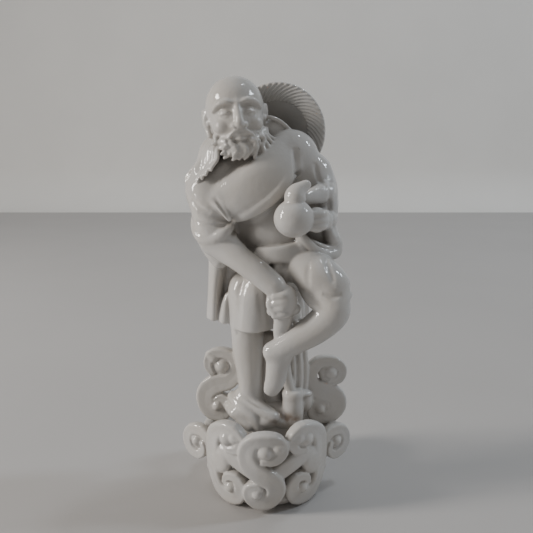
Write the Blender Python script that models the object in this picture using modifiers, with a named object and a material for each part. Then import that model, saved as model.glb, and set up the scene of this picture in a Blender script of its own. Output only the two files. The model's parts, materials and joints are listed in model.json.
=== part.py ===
"""A glazed white porcelain figurine: a bearded immortal leaning on a crutch, on a ring of clouds.

He stands on one leg on a rocky mound, with the other leg raised and crossed in front, a double
gourd held at his side and a straw hat hung on his back. The whole figurine was made and fired
as one piece, so it is one closed solid.

The frame: X to the viewer's right, Y away from the viewer, Z up, with the origin on the ground
at the middle of the space that the figurine takes. The pose is written in design units, of
which the figurine is DESIGN_HEIGHT tall, so it follows HEIGHT.
"""

from math import atan2, cos, degrees, exp, pi, radians, sin, tau

import bmesh
import bpy
import numpy as np
from mathutils import Euler, Matrix, Vector

NAME = "figurine"

# Driving sizes, in metres
HEIGHT = 0.220
FOOT_RADIUS = 0.0255
FOOT_RECESS_RADIUS = 0.017
FOOT_RECESS_DEPTH = 0.0025
FOOT_GRIND = 0.0003
PLATE_RADIUS = 0.0305
PLATE_THICKNESS = 0.009
GOURD_RADIUS = 0.0092
HAT_RADIUS = 0.0253
HAT_WALL = 0.0030
CRUTCH_RADIUS = 0.0030

# The clay: how finely the forms are fused, and how many triangles the solid keeps
FUSE_SIZE = 0.0007
TRIANGLES = 9900
HEAD_TRIANGLES = 1500
HEAD_REACH = 0.0205

DESIGN_HEIGHT = 220.0
UNIT = HEIGHT / DESIGN_HEIGHT
PORCELAIN = (0.86, 0.87, 0.86, 1.0)
PORCELAIN_ROUGHNESS = 0.12


def clear_scene():
    for item in list(bpy.data.objects):
        bpy.data.objects.remove(item)


# Small helpers for points and curves


def smooth_path(points, steps):
    """Catmull-Rom points through rows of numbers, with steps points to each span."""
    rows = np.array(points, float)
    padded = np.vstack([2 * rows[0] - rows[1], rows, 2 * rows[-1] - rows[-2]])
    path = []
    for i in range(len(rows) - 1):
        before, start, end, after = padded[i : i + 4]
        for t in np.arange(steps) / steps:
            path.append(
                start
                + 0.5 * t * (end - before)
                + t * t * (before - 2.5 * start + 2 * end - 0.5 * after)
                + t**3 * (1.5 * (start - end) + 0.5 * (after - before))
            )
    path.append(rows[-1])
    return np.array(path)


def unit_rows(rows):
    lengths = np.linalg.norm(rows, axis=1, keepdims=True)
    return rows / np.maximum(lengths, 1e-9)


class Clay:
    """Overlapping closed forms, in design units, which are fused into one solid."""

    def __init__(self):
        self.points = []
        self.faces = []
        self.place = Matrix.Identity(4)

    def add(self, points, faces):
        base = len(self.points)
        self.points += [self.place @ Vector(p) for p in points]
        self.faces += [tuple(base + i for i in face) for face in faces]

    def skin(self, rings):
        """A closed form through rings of equally many points, with a fan over each end."""
        count = len(rings[0])
        points = [p for ring in rings for p in ring]
        faces = []
        for r in range(len(rings) - 1):
            for i in range(count):
                j = (i + 1) % count
                faces.append(
                    (r * count + i, r * count + j, (r + 1) * count + j, (r + 1) * count + i)
                )
        for ring, turned in ((0, True), (len(rings) - 1, False)):
            centre = len(points)
            points.append(np.mean(np.array(rings[ring]), axis=0))
            for i in range(count):
                j = (i + 1) % count
                pair = (ring * count + i, ring * count + j)
                faces.append((*(pair[::-1] if turned else pair), centre))
        self.add(points, faces)

    def ball(self, centre, radii, turn=(0, 0, 0), segments=48):
        """An ellipsoid, turned by degrees about X, Y and Z."""
        matrix = Matrix.LocRotScale(
            Vector(centre), Euler([radians(a) for a in turn]), Vector(radii)
        )
        shape = bmesh.new()
        bmesh.ops.create_uvsphere(
            shape, u_segments=segments, v_segments=segments // 2, radius=1.0, matrix=matrix
        )
        self.add([v.co for v in shape.verts], [[v.index for v in f.verts] for f in shape.faces])
        shape.free()

    def limb(self, stations, up=(0, -1, 0), sides=32, steps=8, square=1.0, dish=0.0):
        """A swept form. A station is a point, its half width across and its half depth along up.

        A square under 1 makes the section boxier, and a dish hollows its upper face.
        """
        rows = smooth_path(stations, steps)
        path, across_size, up_size = rows[:, :3], rows[:, 3], rows[:, 4]
        along = unit_rows(np.gradient(path, axis=0))
        ups = np.array(up, float)
        if ups.ndim == 1:
            ups = np.tile(ups, (len(path), 1))
        else:
            ups = smooth_path(ups, steps)
        across = unit_rows(np.cross(along, ups))
        ups = unit_rows(np.cross(across, along))
        angles = np.arange(sides) * tau / sides
        c, s = np.cos(angles), np.sin(angles)
        c, s = np.sign(c) * abs(c) ** square, np.sign(s) * abs(s) ** square
        s = np.where(s > 0, s * (1 - dish * (1 - c**2)), s)
        rings = []

        def ring(i, share, shift):
            centre = path[i] + along[i] * shift
            return (
                centre
                + share * across_size[i] * c[:, None] * across[i]
                + share * up_size[i] * s[:, None] * ups[i]
            )

        round_end = [radians(a) for a in (80, 55, 30)]
        first = min(across_size[0], up_size[0])
        last = min(across_size[-1], up_size[-1])
        for a in round_end:
            rings.append(ring(0, cos(a), -first * sin(a)))
        for i in range(len(path)):
            rings.append(ring(i, 1.0, 0.0))
        for a in reversed(round_end):
            rings.append(ring(len(path) - 1, cos(a), last * sin(a)))
        self.skin([list(r) for r in rings])

    def drape(self, levels, folds=0, depth=0.0, phase=0.0, sides=96, steps=6):
        """A hanging form through oval levels: a centre, a half width and a half depth each.

        Its folds are waves around it, and grow from none at the first level.
        """
        rows = smooth_path(levels, steps)
        angles = np.arange(sides) * tau / sides
        rings = []
        for k, (x, y, z, wide, deep) in enumerate(rows):
            share = k / (len(rows) - 1)
            wave = 1 + depth * share * np.cos(folds * angles + phase + 0.6 * np.sin(angles))
            rings.append(
                [
                    (x + wide * w * cos(a), y + deep * w * sin(a), z)
                    for a, w in zip(angles, wave)
                ]
            )
        if rows[0][2] > rows[-1][2]:
            rings.reverse()
        self.skin(rings)

    def turned(self, profile, centre, turn=(0, 0, 0), sides=96):
        """A profile of (radius, height) spun about its own Z axis, from bottom to top."""
        matrix = Matrix.LocRotScale(Vector(centre), Euler([radians(a) for a in turn]), None)
        angles = np.arange(sides) * tau / sides
        rings = [
            [matrix @ Vector((r * cos(a), r * sin(a), z)) for a in angles] for r, z in profile
        ]
        self.skin(rings)


# The ring of clouds. A ribbon's path is given in the cloud's own plane: across, up, half width

FRONT_CLOUD = [
    (-1.9, 31.4, 1.6), (3.6, 31.8, 2.5), (7.3, 36.2, 2.9), (5.4, 41.8, 3.3), (-0.6, 43.4, 3.4),
    (-6.8, 40.9, 4.1), (-9.1, 34.6, 4.6), (-7.2, 27.8, 5.2), (-2.0, 23.2, 5.2), (3.2, 19.2, 5.2),
    (4.4, 13.2, 4.9), (1.0, 7.8, 4.5), (-4.1, 6.4, 4.0), (-8.4, 9.8, 3.3), (-8.2, 15.2, 2.6),
    (-4.8, 17.0, 2.0), (-2.5, 14.9, 1.5),
]
FRONT_BOSSES = [(-0.4, 36.8, 3.7), (-4.4, 12.3, 2.7)]
SIDE_CLOUD = [
    (-3.8, 34.2, 1.6), (-9.3, 35.4, 2.5), (-11.5, 40.6, 2.9), (-7.3, 45.4, 3.3), (-0.2, 44.4, 3.7),
    (5.5, 38.8, 5.0), (7.4, 31.0, 6.0), (8.6, 22.8, 6.3), (9.4, 14.6, 6.0), (6.3, 7.6, 5.4),
    (0.2, 5.2, 4.8), (-7.4, 6.4, 4.2), (-10.6, 13.2, 3.5), (-7.6, 18.8, 2.8), (-2.4, 17.6, 2.2),
    (-0.4, 13.2, 1.7),
]
SIDE_BOSSES = [(-3.4, 39.8, 3.5), (-4.2, 11.9, 2.8)]
SIDE_BAND = [(2.5, 30.4, 4.4), (-6.0, 29.6, 4.8), (-12.0, 26.6, 4.8), (-18.5, 22.5, 4.4)]
SIDE_WEDGE = [(3.0, 29.0, 5.5), (2.0, 26.0, 7.0), (4.0, 21.0, 5.0)]
FAR_CLOUD = [
    (8.0, 30.3, 3.4), (2.5, 33.4, 3.2), (-4.4, 32.2, 3.2), (-7.6, 26.4, 3.2), (-5.2, 20.4, 3.0),
    (0.8, 18.8, 2.6), (4.4, 22.6, 2.0), (3.4, 26.4, 1.5),
]
FAR_BOSSES = [(-0.8, 26.6, 2.8)]
LEFT_TALL_CLOUD = [
    (-2.9, 64.4, 1.4), (-5.3, 69.4, 2.2), (-3.5, 75.0, 2.6), (2.8, 76.6, 2.7), (9.0, 73.9, 3.0),
    (10.4, 67.2, 3.6), (6.6, 60.8, 4.6), (-1.4, 58.2, 5.3), (-6.6, 53.4, 5.1), (-6.8, 46.7, 4.8),
    (-3.1, 41.4, 4.3), (3.1, 41.4, 3.8), (5.6, 46.8, 3.0), (2.3, 50.8, 2.3), (-1.4, 48.6, 1.6),
]
LEFT_TALL_BOSSES = [(2.6, 69.2, 3.6), (-0.4, 45.8, 2.6)]
RIGHT_TALL_CLOUD = [
    (2.5, 59.6, 1.5), (8.0, 60.8, 2.4), (9.6, 66.6, 2.7), (4.8, 71.4, 2.7), (-3.4, 71.0, 3.2),
    (-8.1, 64.6, 3.8), (-6.6, 57.6, 4.9), (0.2, 54.0, 5.5), (6.3, 50.6, 5.3), (7.4, 44.3, 4.9),
    (2.8, 39.8, 4.4), (-3.7, 39.7, 4.0), (-6.8, 44.6, 3.2), (-4.3, 48.8, 2.5), (0.2, 47.6, 1.9),
    (0.9, 44.9, 1.4),
]
RIGHT_TALL_BOSSES = [(3.2, 65.0, 3.5), (-2.4, 44.2, 2.6)]


def on_ring(azimuth, out=0.0, mirror=1, low=1.0):
    """Places a cloud on the ring, wrapped round it: azimuth 0 faces the viewer, 90 the right."""
    plate = PLATE_RADIUS / UNIT

    def place(u, v):
        v = low * v
        radius = plate - 3.5 + 4.5 * (1 - exp(-max(v, 0) / 12)) + 0.025 * v + out
        a = radians(azimuth) + mirror * u / (plate + 1)
        return (radius * sin(a), -radius * cos(a), v), (sin(a), -cos(a), -0.12)

    return place


def upright(x, y, yaw, mirror=1):
    """Places a cloud in an upright plane through x and y, which faces the viewer at yaw 0."""
    a = radians(yaw)

    def place(u, v):
        u = mirror * u
        return (x + u * cos(a), y + u * sin(a), v), (sin(a), -cos(a), 0.0)

    return place


def cloud(clay, place, path, bosses=(), deep=3.8, floor=1.0, dish=0.34):
    """A rolled ribbon of cloud, with a ball in the eye of each scroll on a lower floor."""
    rows = smooth_path(path, 3)
    found = [place(u, v) for u, v, _ in rows]
    stations = [(*point, 1.06 * w, deep) for (point, _), (_, _, w) in zip(found, rows)]
    clay.limb(stations, up=[out for _, out in found], sides=20, steps=1, square=0.72, dish=dish)
    for u, v, r in bosses:
        (x, y, z), (a, b, c) = place(u, v)
        high = deep - 1.05 * r
        clay.ball((x + high * a, y + high * b, z), (1.15 * r, 1.15 * r, 1.15 * r), segments=24)
        yaw = degrees(atan2(a, -b))
        low = -0.9
        clay.ball(
            (x + low * a, y + low * b, z),
            (1.9 * r * floor, deep - 0.5, 1.9 * r * floor),
            (0, 0, yaw),
            segments=24,
        )


def cloud_tip(clay, place, at, to, wide, deep, tip=0.9):
    """A pointed lip on the outside of a scroll."""
    (a, out), (b, _) = place(*at), place(*to)
    clay.limb([(*a, wide, deep), (*b, tip, 0.85 * deep)], up=out, sides=16, steps=4)


def clouds(clay):
    cloud(clay, on_ring(0, 2.2), FRONT_CLOUD, FRONT_BOSSES, 4.0)
    cloud_tip(clay, on_ring(0, 2.2), (5.4, 38.6), (8.4, 40.6), 4.2, 3.8, 2.0)
    cloud_tip(clay, upright(-26.5, -1, -8), (-2.0, 73.2), (-4.4, 74.8), 3.2, 3.4, 2.6)
    for side in (-1, 1):
        cloud_tip(clay, on_ring(43 * side, 0.8, side), (-8.0, 41.4), (-11.2, 41.6), 3.8, 3.6)
        cloud(clay, on_ring(43 * side, 0.8, side), SIDE_CLOUD, SIDE_BOSSES, 3.8)
        cloud(clay, on_ring(43 * side, -0.4, side), SIDE_BAND, (), 3.6, dish=0)
        cloud(clay, on_ring(43 * side, 0.3, side), SIDE_WEDGE, (), 3.5, dish=0)
        cloud(clay, upright(37.4 * side, -5, 36 * side, -side), FAR_CLOUD, FAR_BOSSES, 3.3)
    cloud(clay, upright(-26.5, -1, -8), LEFT_TALL_CLOUD, LEFT_TALL_BOSSES, 3.8, dish=0.42)
    cloud(clay, upright(31.6, -1, 8), RIGHT_TALL_CLOUD, RIGHT_TALL_BOSSES, 3.8, dish=0.46)
    # Plainer clouds round the back, out of the viewer's sight
    for azimuth, mirror, low in (
        (97, 1, 0.72),
        (138, 1, 0.94),
        (180, 1, 1.0),
        (222, -1, 0.94),
        (263, -1, 0.72),
    ):
        cloud(clay, on_ring(azimuth, 0.4, mirror, low), FRONT_CLOUD, FRONT_BOSSES, 3.6)


def base(clay):
    foot = FOOT_RADIUS / UNIT
    plate = PLATE_RADIUS / UNIT
    recess = FOOT_RECESS_RADIUS / UNIT
    deep = FOOT_RECESS_DEPTH / UNIT
    thick = PLATE_THICKNESS / UNIT
    clay.turned(
        [
            (0.5 * recess, deep),
            (recess, deep),
            (recess + 1.2, 0.0),
            (foot, 0.0),
            (0.5 * (foot + plate) + 0.6, 0.25 * thick),
            (plate, 0.6 * thick),
            (plate - 1.5, thick),
            (0.5 * plate, thick),
        ],
        (0, 0, 0),
    )


def mound(clay):
    clay.drape(
        [
            (0, 0, 2.5 + FOOT_RECESS_DEPTH / UNIT, 22, 20),
            (0, 0, 16, 19, 18),
            (0, 0, 30, 18, 17),
            (0, 0, 40, 18, 16),
            (0, -1, 46.5, 18, 14),
            (-1, -1, 51, 13, 9),
        ],
        folds=7,
        depth=0.06,
    )
    # Rocks at the top of the mound
    clay.ball((-11, -9, 45), (10.5, 8.0, 5.4), (0, 12, 0))
    clay.ball((0, -12.5, 43.6), (9.5, 7.5, 4.8), (0, -4, 0))
    clay.ball((10, -11.5, 42.5), (9, 7.0, 4.4))
    clay.ball((-5, -15.0, 42.0), (5.5, 3.6, 4.4), (0, 30, 0))
    clay.limb(
        [
            (-18, -5.5, 52.6, 3.4, 3.4),
            (-12.6, -12.8, 49.6, 3.2, 3.2),
            (-7.2, -16.4, 46.0, 3.0, 3.0),
            (-4.0, -18.0, 40.6, 2.6, 2.6),
        ],
    )
    clay.limb(
        [
            (-20, -5, 46.6, 3.2, 3.2),
            (-14.6, -13.0, 44.6, 3.0, 3.0),
            (-9.0, -17.6, 41.0, 2.6, 2.6),
        ],
    )
    clay.ball((-15, 2, 43), (8, 9, 6))
    clay.ball((15, 4, 43), (7, 8, 7))
    clay.ball((0, 12, 44), (13, 7, 6))
    # The stump that the crutch stands on, with its ledge
    clay.turned(
        [(5.6, 40), (6.0, 47), (5.5, 54), (6.0, 57.2), (5.4, 59.2), (3.0, 59.6)],
        (14.0, -10.5, 0),
        sides=40,
    )
    clay.ball((19.5, -6.5, 55.8), (5.6, 4, 2.0), (0, 8, 0))
    clay.ball((21.0, -3.5, 50.0), (4.6, 5, 7.0))


def trunk(clay):
    """The ribbed trunk that rises from the stump, behind the crossed foot."""
    for x, y, r in ((11.0, -8.8, 1.7), (14.2, -9.0, 1.6), (17.6, -7.8, 1.8), (20.6, -5.2, 2.0)):
        clay.limb(
            [
                (x - 0.4, y, 54, r, r),
                (x + 0.3, y + 0.2, 66, r, r),
                (x - 0.6, y + 1.5, 80, r, r),
                (x - 2.0, y + 3, 94, r, r),
            ]
        )
    clay.limb([(15, -2, 52, 6.8, 6.2), (14.5, -1, 75, 6.8, 6.6), (12, 3, 98, 7, 7)])
    clay.limb([(3, -3, 50, 7.0, 5.0), (2, -3, 66, 5.0, 4.5), (1, -1, 84, 5.0, 5.0)])


def legs(clay):
    # The standing leg and its foot
    clay.limb(
        [
            (-10, -2, 112, 10.5, 10.5),
            (-10, -5, 92, 9.0, 9.2),
            (-9.6, -6, 78, 8.4, 8.6),
            (-8.6, -7, 66, 7.0, 7.4),
            (-8.4, -7, 57, 6.6, 7.0),
        ]
    )
    clay.ball((-9.4, -5.6, 52.0), (9.4, 8.0, 6.4), (0, 10, 0))
    clay.limb(
        [
            (-11.4, -8.4, 54.6, 4.6, 4.2),
            (-5.6, -12.4, 51.2, 4.6, 4.0),
            (0.6, -15.4, 48.2, 4.6, 3.6),
            (4.6, -16.8, 46.4, 4.2, 3.2),
        ],
        up=(0, 0, 1),
    )
    # The bare shin, crossed in front, and its foot pointing down
    clay.limb(
        [
            (32.6, -20.5, 112, 8.2, 8.2),
            (32.8, -22, 105.4, 8.8, 8.6),
            (25.2, -22.5, 97.6, 8.1, 8.0),
            (14, -22.8, 90.6, 7.0, 7.0),
            (5.5, -22.5, 85.4, 5.9, 6.2),
        ]
    )
    clay.ball((3.2, -22.3, 84.8), (5.6, 5.6, 5.4))
    clay.limb(
        [
            (6.8, -21.8, 84.4, 7.4, 5.9),
            (5.6, -22.0, 77, 6.2, 5.2),
            (4.4, -22.6, 69.5, 5.5, 4.3),
            (2.0, -22.8, 63.4, 4.4, 2.8),
        ]
    )


def thigh(clay):
    """The raised thigh in its rolled trouser leg, down to the knee."""
    clay.limb(
        [
            (4, -1, 129, 9, 10.0),
            (15, -7, 128.8, 10.4, 9.6),
            (25, -14, 122.6, 12.0, 11.0),
            (30.4, -17, 119.4, 10.8, 10.4),
        ],
        up=(0, 0, 1),
        sides=32,
    )
    clay.ball((32.4, -17.6, 118.2), (9.6, 9.8, 9.2), (0, 20, 0), segments=64)
    clay.ball((31.6, -19.0, 114.6), (10.0, 9.4, 8.4), (0, 10, 0), segments=64)
    clay.ball((28.6, -18.4, 114.0), (7.6, 8.4, 6.8), (0, 30, 0), segments=64)


HEM = [
    (15.6, -12.0, 120.4, 1.8, 2.2),
    (18.2, -17.6, 115.6, 2.2, 2.4),
    (21.6, -22.4, 111.0, 2.4, 2.4),
    (26.6, -25.4, 108.0, 2.4, 2.4),
    (32.0, -27.2, 108.6, 2.3, 2.3),
    (37.4, -25.4, 111.4, 2.2, 2.2),
    (40.8, -20.4, 113.8, 2.0, 2.0),
]


def trousers(clay):
    # The gathered hem below the knee
    clay.limb(HEM)
    # Folds gathered at the hip
    for x, z, r in ((5.0, 127.0, 2.2), (8.6, 125.6, 2.0), (11.6, 126.2, 1.9)):
        clay.limb(
            [
                (x + 2.4, -12.0, z + 2.2, r, r),
                (x, -15.0, z - 1.0, r, r),
                (x + 1, -14.6, z - 6.4, 0.8 * r, 0.8 * r),
            ],
        )


def masses(clay):
    """The soft masses of the body under its robe."""
    # Belly, hips and waist
    clay.ball((4, -1, 126), (15.5, 13, 13))
    clay.ball((4, -1.0, 142.5), (16.5, 13.2, 14.5), (0, -8, 0))
    clay.ball((-2, 5, 150), (23, 13, 26), (0, 10, 0))
    # Chest and back, leaning towards the crutch
    clay.ball((-8, -2.8, 165.5), (24, 15.8, 14.5), (0, -24, 0))
    clay.ball((-12, -3, 159), (15, 15.6, 9.5), (0, 26, 0))
    clay.ball((-2, 7, 170), (27, 13, 18), (0, -22, 0))
    # The robe's flap across the chest
    clay.limb(
        [
            (12, -2, 185, 9, 5),
            (6.4, -9.4, 177, 10.5, 5),
            (-1.4, -13.4, 169.5, 11.0, 5),
            (-10.4, -13.8, 162.4, 10.2, 5),
            (-19.6, -11.4, 157.4, 7.6, 5),
        ],
        up=(0.1, -1, 0.15),
        square=0.85,
    )
    # Shoulders, and the neck
    clay.ball((12.2, 3.5, 180.8), (14.4, 12.8, 13.6))
    clay.ball((20.5, 4.5, 169), (12, 11, 15), (0, -14, 0))
    clay.ball((-28, 1, 164), (14, 12, 12), (0, -30, 0))
    clay.limb([(-31.5, 3, 158, 6.5, 9), (-30.2, 4.5, 148, 6.0, 8.5), (-27.0, 5.5, 137, 4.8, 7.0)])
    clay.ball((-19.5, 6.0, 180), (7.0, 5.0, 9.0), (0, -20, 0))
    clay.ball((-20.5, -3.5, 173.5), (8.0, 6.0, 7.0), (0, -25, 0))
    clay.limb([(-8, 4, 178, 12, 12), (-12.5, 0, 190, 9.5, 9.5)])
    # The sleeved upper arms
    clay.limb([(-29.5, 0, 164, 12.6, 12), (-28.2, -3.5, 154, 10.4, 11.5), (-26.6, -6.5, 145, 9.8, 9.8)])
    clay.ball((-22, -5, 160), (9, 11, 10), (0, 20, 0))
    clay.limb([(23.4, 5, 172, 11, 11), (28.0, 3, 163, 9.2, 10.5), (29.4, 1, 152, 7.6, 10.0)])


def skirts(clay):
    # The tunic over the standing thigh
    clay.drape(
        [
            (0.0, 0, 134, 12.6, 12),
            (1.0, -1, 125, 12.2, 13.0),
            (-3.0, -1.6, 116, 12.8, 14.0),
            (-6.0, -2, 108, 13.0, 14.5),
            (-6.8, -2.5, 94.0, 12.8, 15.5),
            (-6.8, -2.5, 92.8, 12.2, 14.8),
        ],
        folds=4,
        depth=0.022,
        phase=0.9,
    )
    # The robe's skirt, which hangs down behind
    clay.drape(
        [
            (-1.4, 4, 137, 19.5, 12.6),
            (-3, 7, 124, 23.4, 10.4),
            (-3.6, 9.5, 110, 25.6, 9.4),
            (-3.8, 10.5, 93, 27, 9.5),
            (-3.8, 10.5, 91.5, 26, 8.8),
        ],
        folds=13,
        depth=0.055,
        phase=1.1,
    )
    # Its front edge at the left, which hangs from the sleeve in flat folds
    clay.drape(
        [
            (-25.0, 1, 138, 5.8, 7),
            (-25.4, 2.0, 126, 5.2, 6.6),
            (-27.2, 3.0, 112, 4.0, 6.2),
            (-28.2, 4.0, 95.6, 4.2, 6.6),
            (-28.2, 4.0, 94.4, 3.8, 6.2),
        ],
        folds=4,
        depth=0.10,
        phase=0.6,
        sides=48,
    )
    clay.drape(
        [
            (-20.8, -1.5, 110, 1.0, 4.0),
            (-21.2, -2.0, 104, 2.8, 5.0),
            (-21.4, -1.5, 95.4, 4.4, 5.8),
            (-21.4, -1.5, 94.2, 3.9, 5.2),
        ],
        folds=3,
        depth=0.12,
        sides=32,
    )
    # The sash tied behind, and its ends
    clay.limb(
        [
            (-19, 9, 137, 2.6, 2.6),
            (-8, 17, 137, 3.0, 2.2),
            (6, 17.5, 137.5, 3.0, 2.2),
            (18, 10, 138, 2.6, 2.6),
        ],
    )
    clay.ball((3, 19.4, 136.6), (4.2, 2.6, 3.4))
    clay.limb(
        [
            (1.6, 19.6, 134, 2.0, 1.4),
            (0.2, 19.6, 124, 2.8, 1.5),
            (0.6, 19.9, 113, 3.2, 1.5),
        ],
        square=0.7,
    )
    clay.limb(
        [
            (4.6, 19.4, 134, 2.0, 1.4),
            (6.4, 19.6, 124, 2.6, 1.5),
            (6.8, 19.9, 117, 3.0, 1.5),
        ],
        square=0.7,
    )


def robe(clay):
    """The robe's crossed front: a smooth flap, its turned edge, the collar and the belt."""
    # The flap's turned lower edge
    clay.limb(
        [
            (12.8, -4.0, 185.0, 3.0, 1.9),
            (12.6, -9.6, 177.4, 3.2, 1.9),
            (9.8, -14.2, 169.2, 3.2, 1.9),
            (4.0, -16.6, 161.9, 3.0, 1.9),
            (-3.8, -16.8, 156.0, 2.8, 1.9),
            (-10.4, -15.2, 152.4, 2.6, 1.9),
            (-16.0, -12.0, 150.6, 2.4, 1.9),
        ],
        up=(0.25, -1, -0.25),
        square=0.8,
    )
    # The collar at the back of the neck
    clay.ball((4.0, 6, 192.6), (8, 5, 6.6), (0, 34, 0))
    # The belt and its hanging end
    clay.limb(
        [
            (-4.0, -12.6, 132.8, 4.0, 2.4),
            (3.0, -15.2, 132.8, 4.4, 2.6),
            (10.0, -15.4, 133.6, 4.5, 2.6),
            (16.8, -13.4, 135.4, 4.3, 2.6),
        ],
        square=0.45,
    )
    clay.limb(
        [
            (15.6, -14.4, 142.8, 1.7, 1.7),
            (17.2, -14.4, 137.6, 2.6, 2.2),
            (17.6, -13.4, 131.0, 2.1, 2.0),
        ],
    )


def collar(clay):
    """The robe's upright edge behind the neck."""
    clay.limb(
        [
            (-4.0, 5.5, 199.6, 0.9, 1.2),
            (1.2, 2.2, 199.9, 0.9, 1.2),
            (5.8, 1.6, 198.4, 0.9, 1.2),
            (9.4, 2.0, 196.0, 0.8, 1.1),
            (12.4, 3.4, 193.6, 0.6, 0.8),
        ],
        up=(0.3, -0.4, 1),
    )


def right_sleeve(clay):
    """The wide sleeve of the arm at the viewer's left, with its turned cuffs."""
    clay.limb(
        [
            (-36.2, 2.0, 152.5, 2.0, 2.0),
            (-36.2, -5.0, 146.8, 2.6, 2.2),
            (-33.2, -10.4, 141.6, 3.1, 2.5),
            (-27.6, -13.8, 140.2, 3.2, 2.6),
            (-21.0, -15.8, 143.6, 2.9, 2.5),
            (-18.0, -12.6, 146.8, 2.3, 2.0),
            (-18.4, -6.0, 148.0, 2.0, 1.8),
        ]
    )
    clay.limb(
        [
            (-33.0, 1.0, 143.0, 2.2, 2.4),
            (-31.8, -6.0, 137.6, 2.7, 2.4),
            (-27.6, -11.2, 134.8, 3.0, 2.6),
            (-20.8, -15.0, 137.8, 2.8, 2.4),
            (-16.6, -12.8, 140.8, 2.1, 1.9),
            (-16.6, -6.0, 141.8, 1.8, 1.7),
        ]
    )
    # The cuff's underside, which hangs down to the skirt
    clay.limb([(-30.0, 1.0, 140, 7.0, 8.0), (-26.6, -3.0, 133, 6.0, 7.0), (-24.0, -5.0, 128, 4.5, 5.5)])
    # The forearm, with the edge of the inner sleeve
    clay.limb(
        [
            (-26, -7, 140.5, 9.4, 8.8),
            (-20, -10.6, 135.6, 8.0, 7.4),
            (-13.4, -15, 131.0, 6.6, 6.4),
            (-4.0, -19.4, 124.8, 6.3, 6.1),
            (4.2, -22.4, 118.4, 5.9, 5.6),
        ]
    )
    clay.limb(
        [
            (-20.0, -7.0, 126.8, 1.4, 1.4),
            (-17.2, -14.0, 129.8, 1.6, 1.5),
            (-12.8, -18.2, 134.4, 1.5, 1.4),
            (-11.2, -15.0, 136.0, 1.3, 1.2),
            (-12.2, -9.0, 137.4, 1.2, 1.1),
        ]
    )
    # A fold in the sleeve, from the armpit
    clay.limb(
        [
            (-28.4, -12.6, 160.0, 1.2, 1.4),
            (-22.6, -15.6, 156.4, 1.8, 1.8),
            (-18.2, -16.4, 151.0, 1.6, 1.6),
        ],
    )


def right_hand(clay):
    """The fist round the crutch's head: four fingers one over the other, and the thumb."""
    clay.ball((8.2, -23.4, 112.4), (6.4, 5.4, 7.6), (0, 24, 0), segments=64)
    for height, reach in ((115.6, 14.0), (112.2, 14.8), (108.9, 14.6), (105.9, 13.6)):
        clay.limb(
            [
                (reach - 1.6, -19.6, height, 2.1, 1.9),
                (reach - 1.8, -23.8, height, 2.2, 2.1),
                (8.6, -26.9, height - 0.4, 2.2, 2.0),
                (4.0, -26.4, height - 1.2, 1.9, 1.8),
            ],
            up=(0, 0, 1),
            sides=16,
        )
    clay.ball((8.8, -24.4, 111.0), (6.4, 4.7, 7.2))
    clay.limb(
        [
            (2.4, -23.6, 114.0, 2.3, 2.2),
            (1.8, -25.4, 109.6, 2.1, 2.0),
            (4.0, -26.8, 105.8, 1.7, 1.7),
        ],
        sides=16,
    )


def crutch(clay):
    r = CRUTCH_RADIUS / UNIT
    clay.limb(
        [
            (3.0, -23.4, 106.4, r, r),
            (8.6, -23.8, 106.4, 1.2 * r, r),
            (14.0, -22.6, 107.2, r, r),
        ],
        up=(0, 0, 1),
    )
    clay.limb(
        [
            (8.8, -23.0, 108, 1.9 * r, 1.2 * r),
            (8.2, -22.6, 101, 1.6 * r, 1.1 * r),
            (7.2, -21.0, 92, 1.2 * r, r),
            (10.5, -13, 68, r, r),
            (14, -10, 54, r, r),
        ]
    )


def left_arm(clay):
    """The arm at the viewer's right, whose sleeve hangs wide and whose hand holds the gourd."""
    clay.limb(
        [
            (29.4, 3, 165, 6.2, 7),
            (28.6, -7, 163.4, 5.6, 5.4),
            (23.0, -14.0, 162.0, 4.2, 4.0),
            (18.2, -18.6, 161.0, 3.0, 3.0),
        ],
    )
    clay.limb([(31, -1, 150, 6.4, 6.0), (28, -10, 150, 5.8, 5.6), (23.6, -17, 151.0, 5.4, 5.4)])
    clay.ball((24.2, -20.4, 151.0), (6.2, 5.8, 6.2))
    # Fingers round the gourd
    for height in (154.4, 151.4, 148.4):
        clay.limb(
            [
                (28.4, -19.6, height, 1.9, 1.8),
                (26.4, -24.6, height, 1.9, 1.9),
                (20.4, -26.2, height - 0.3, 1.8, 1.8),
            ],
            up=(0, 0, 1),
            sides=16,
        )
    # The sleeve falling outside the forearm, and its hem
    clay.limb(
        [
            (29.8, 3, 167, 6.2, 10),
            (32.4, 2, 157, 4.9, 10),
            (32.0, 1, 146, 4.2, 9),
            (34.4, -1.5, 138, 4.3, 7.5),
        ]
    )
    clay.ball((26, 4, 142), (10, 7, 12))
    clay.limb(
        [
            (15.0, -16.0, 145.6, 1.6, 1.2),
            (18.6, -16.4, 141.0, 2.3, 1.4),
            (24.2, -14.0, 135.2, 2.5, 1.5),
            (30.6, -10.0, 131.8, 2.6, 1.7),
            (36.0, -6.0, 132.2, 2.6, 1.9),
            (37.4, -1.5, 137.0, 2.3, 2.2),
        ]
    )
    clay.limb(
        [
            (20, -10, 138.5, 4.0, 2.2),
            (28, -6, 134.5, 5.0, 2.4),
            (33.6, -2, 134.5, 5.0, 2.6),
        ],
        up=(0, 0.4, 1),
    )


def gourd(clay):
    r = GOURD_RADIUS / UNIT
    clay.ball((13.0, -24.6, 152.2), (1.05 * r, r, r))
    clay.limb(
        [
            (13.4, -24.6, 158, 0.46 * r, 0.46 * r),
            (13.6, -24.4, 162.2, 0.58 * r, 0.58 * r),
            (14.8, -23.9, 164.8, 0.50 * r, 0.50 * r),
            (17.0, -23.2, 166.8, 0.34 * r, 0.34 * r),
            (18.6, -22.6, 167.8, 0.28 * r, 0.28 * r),
        ]
    )


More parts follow.
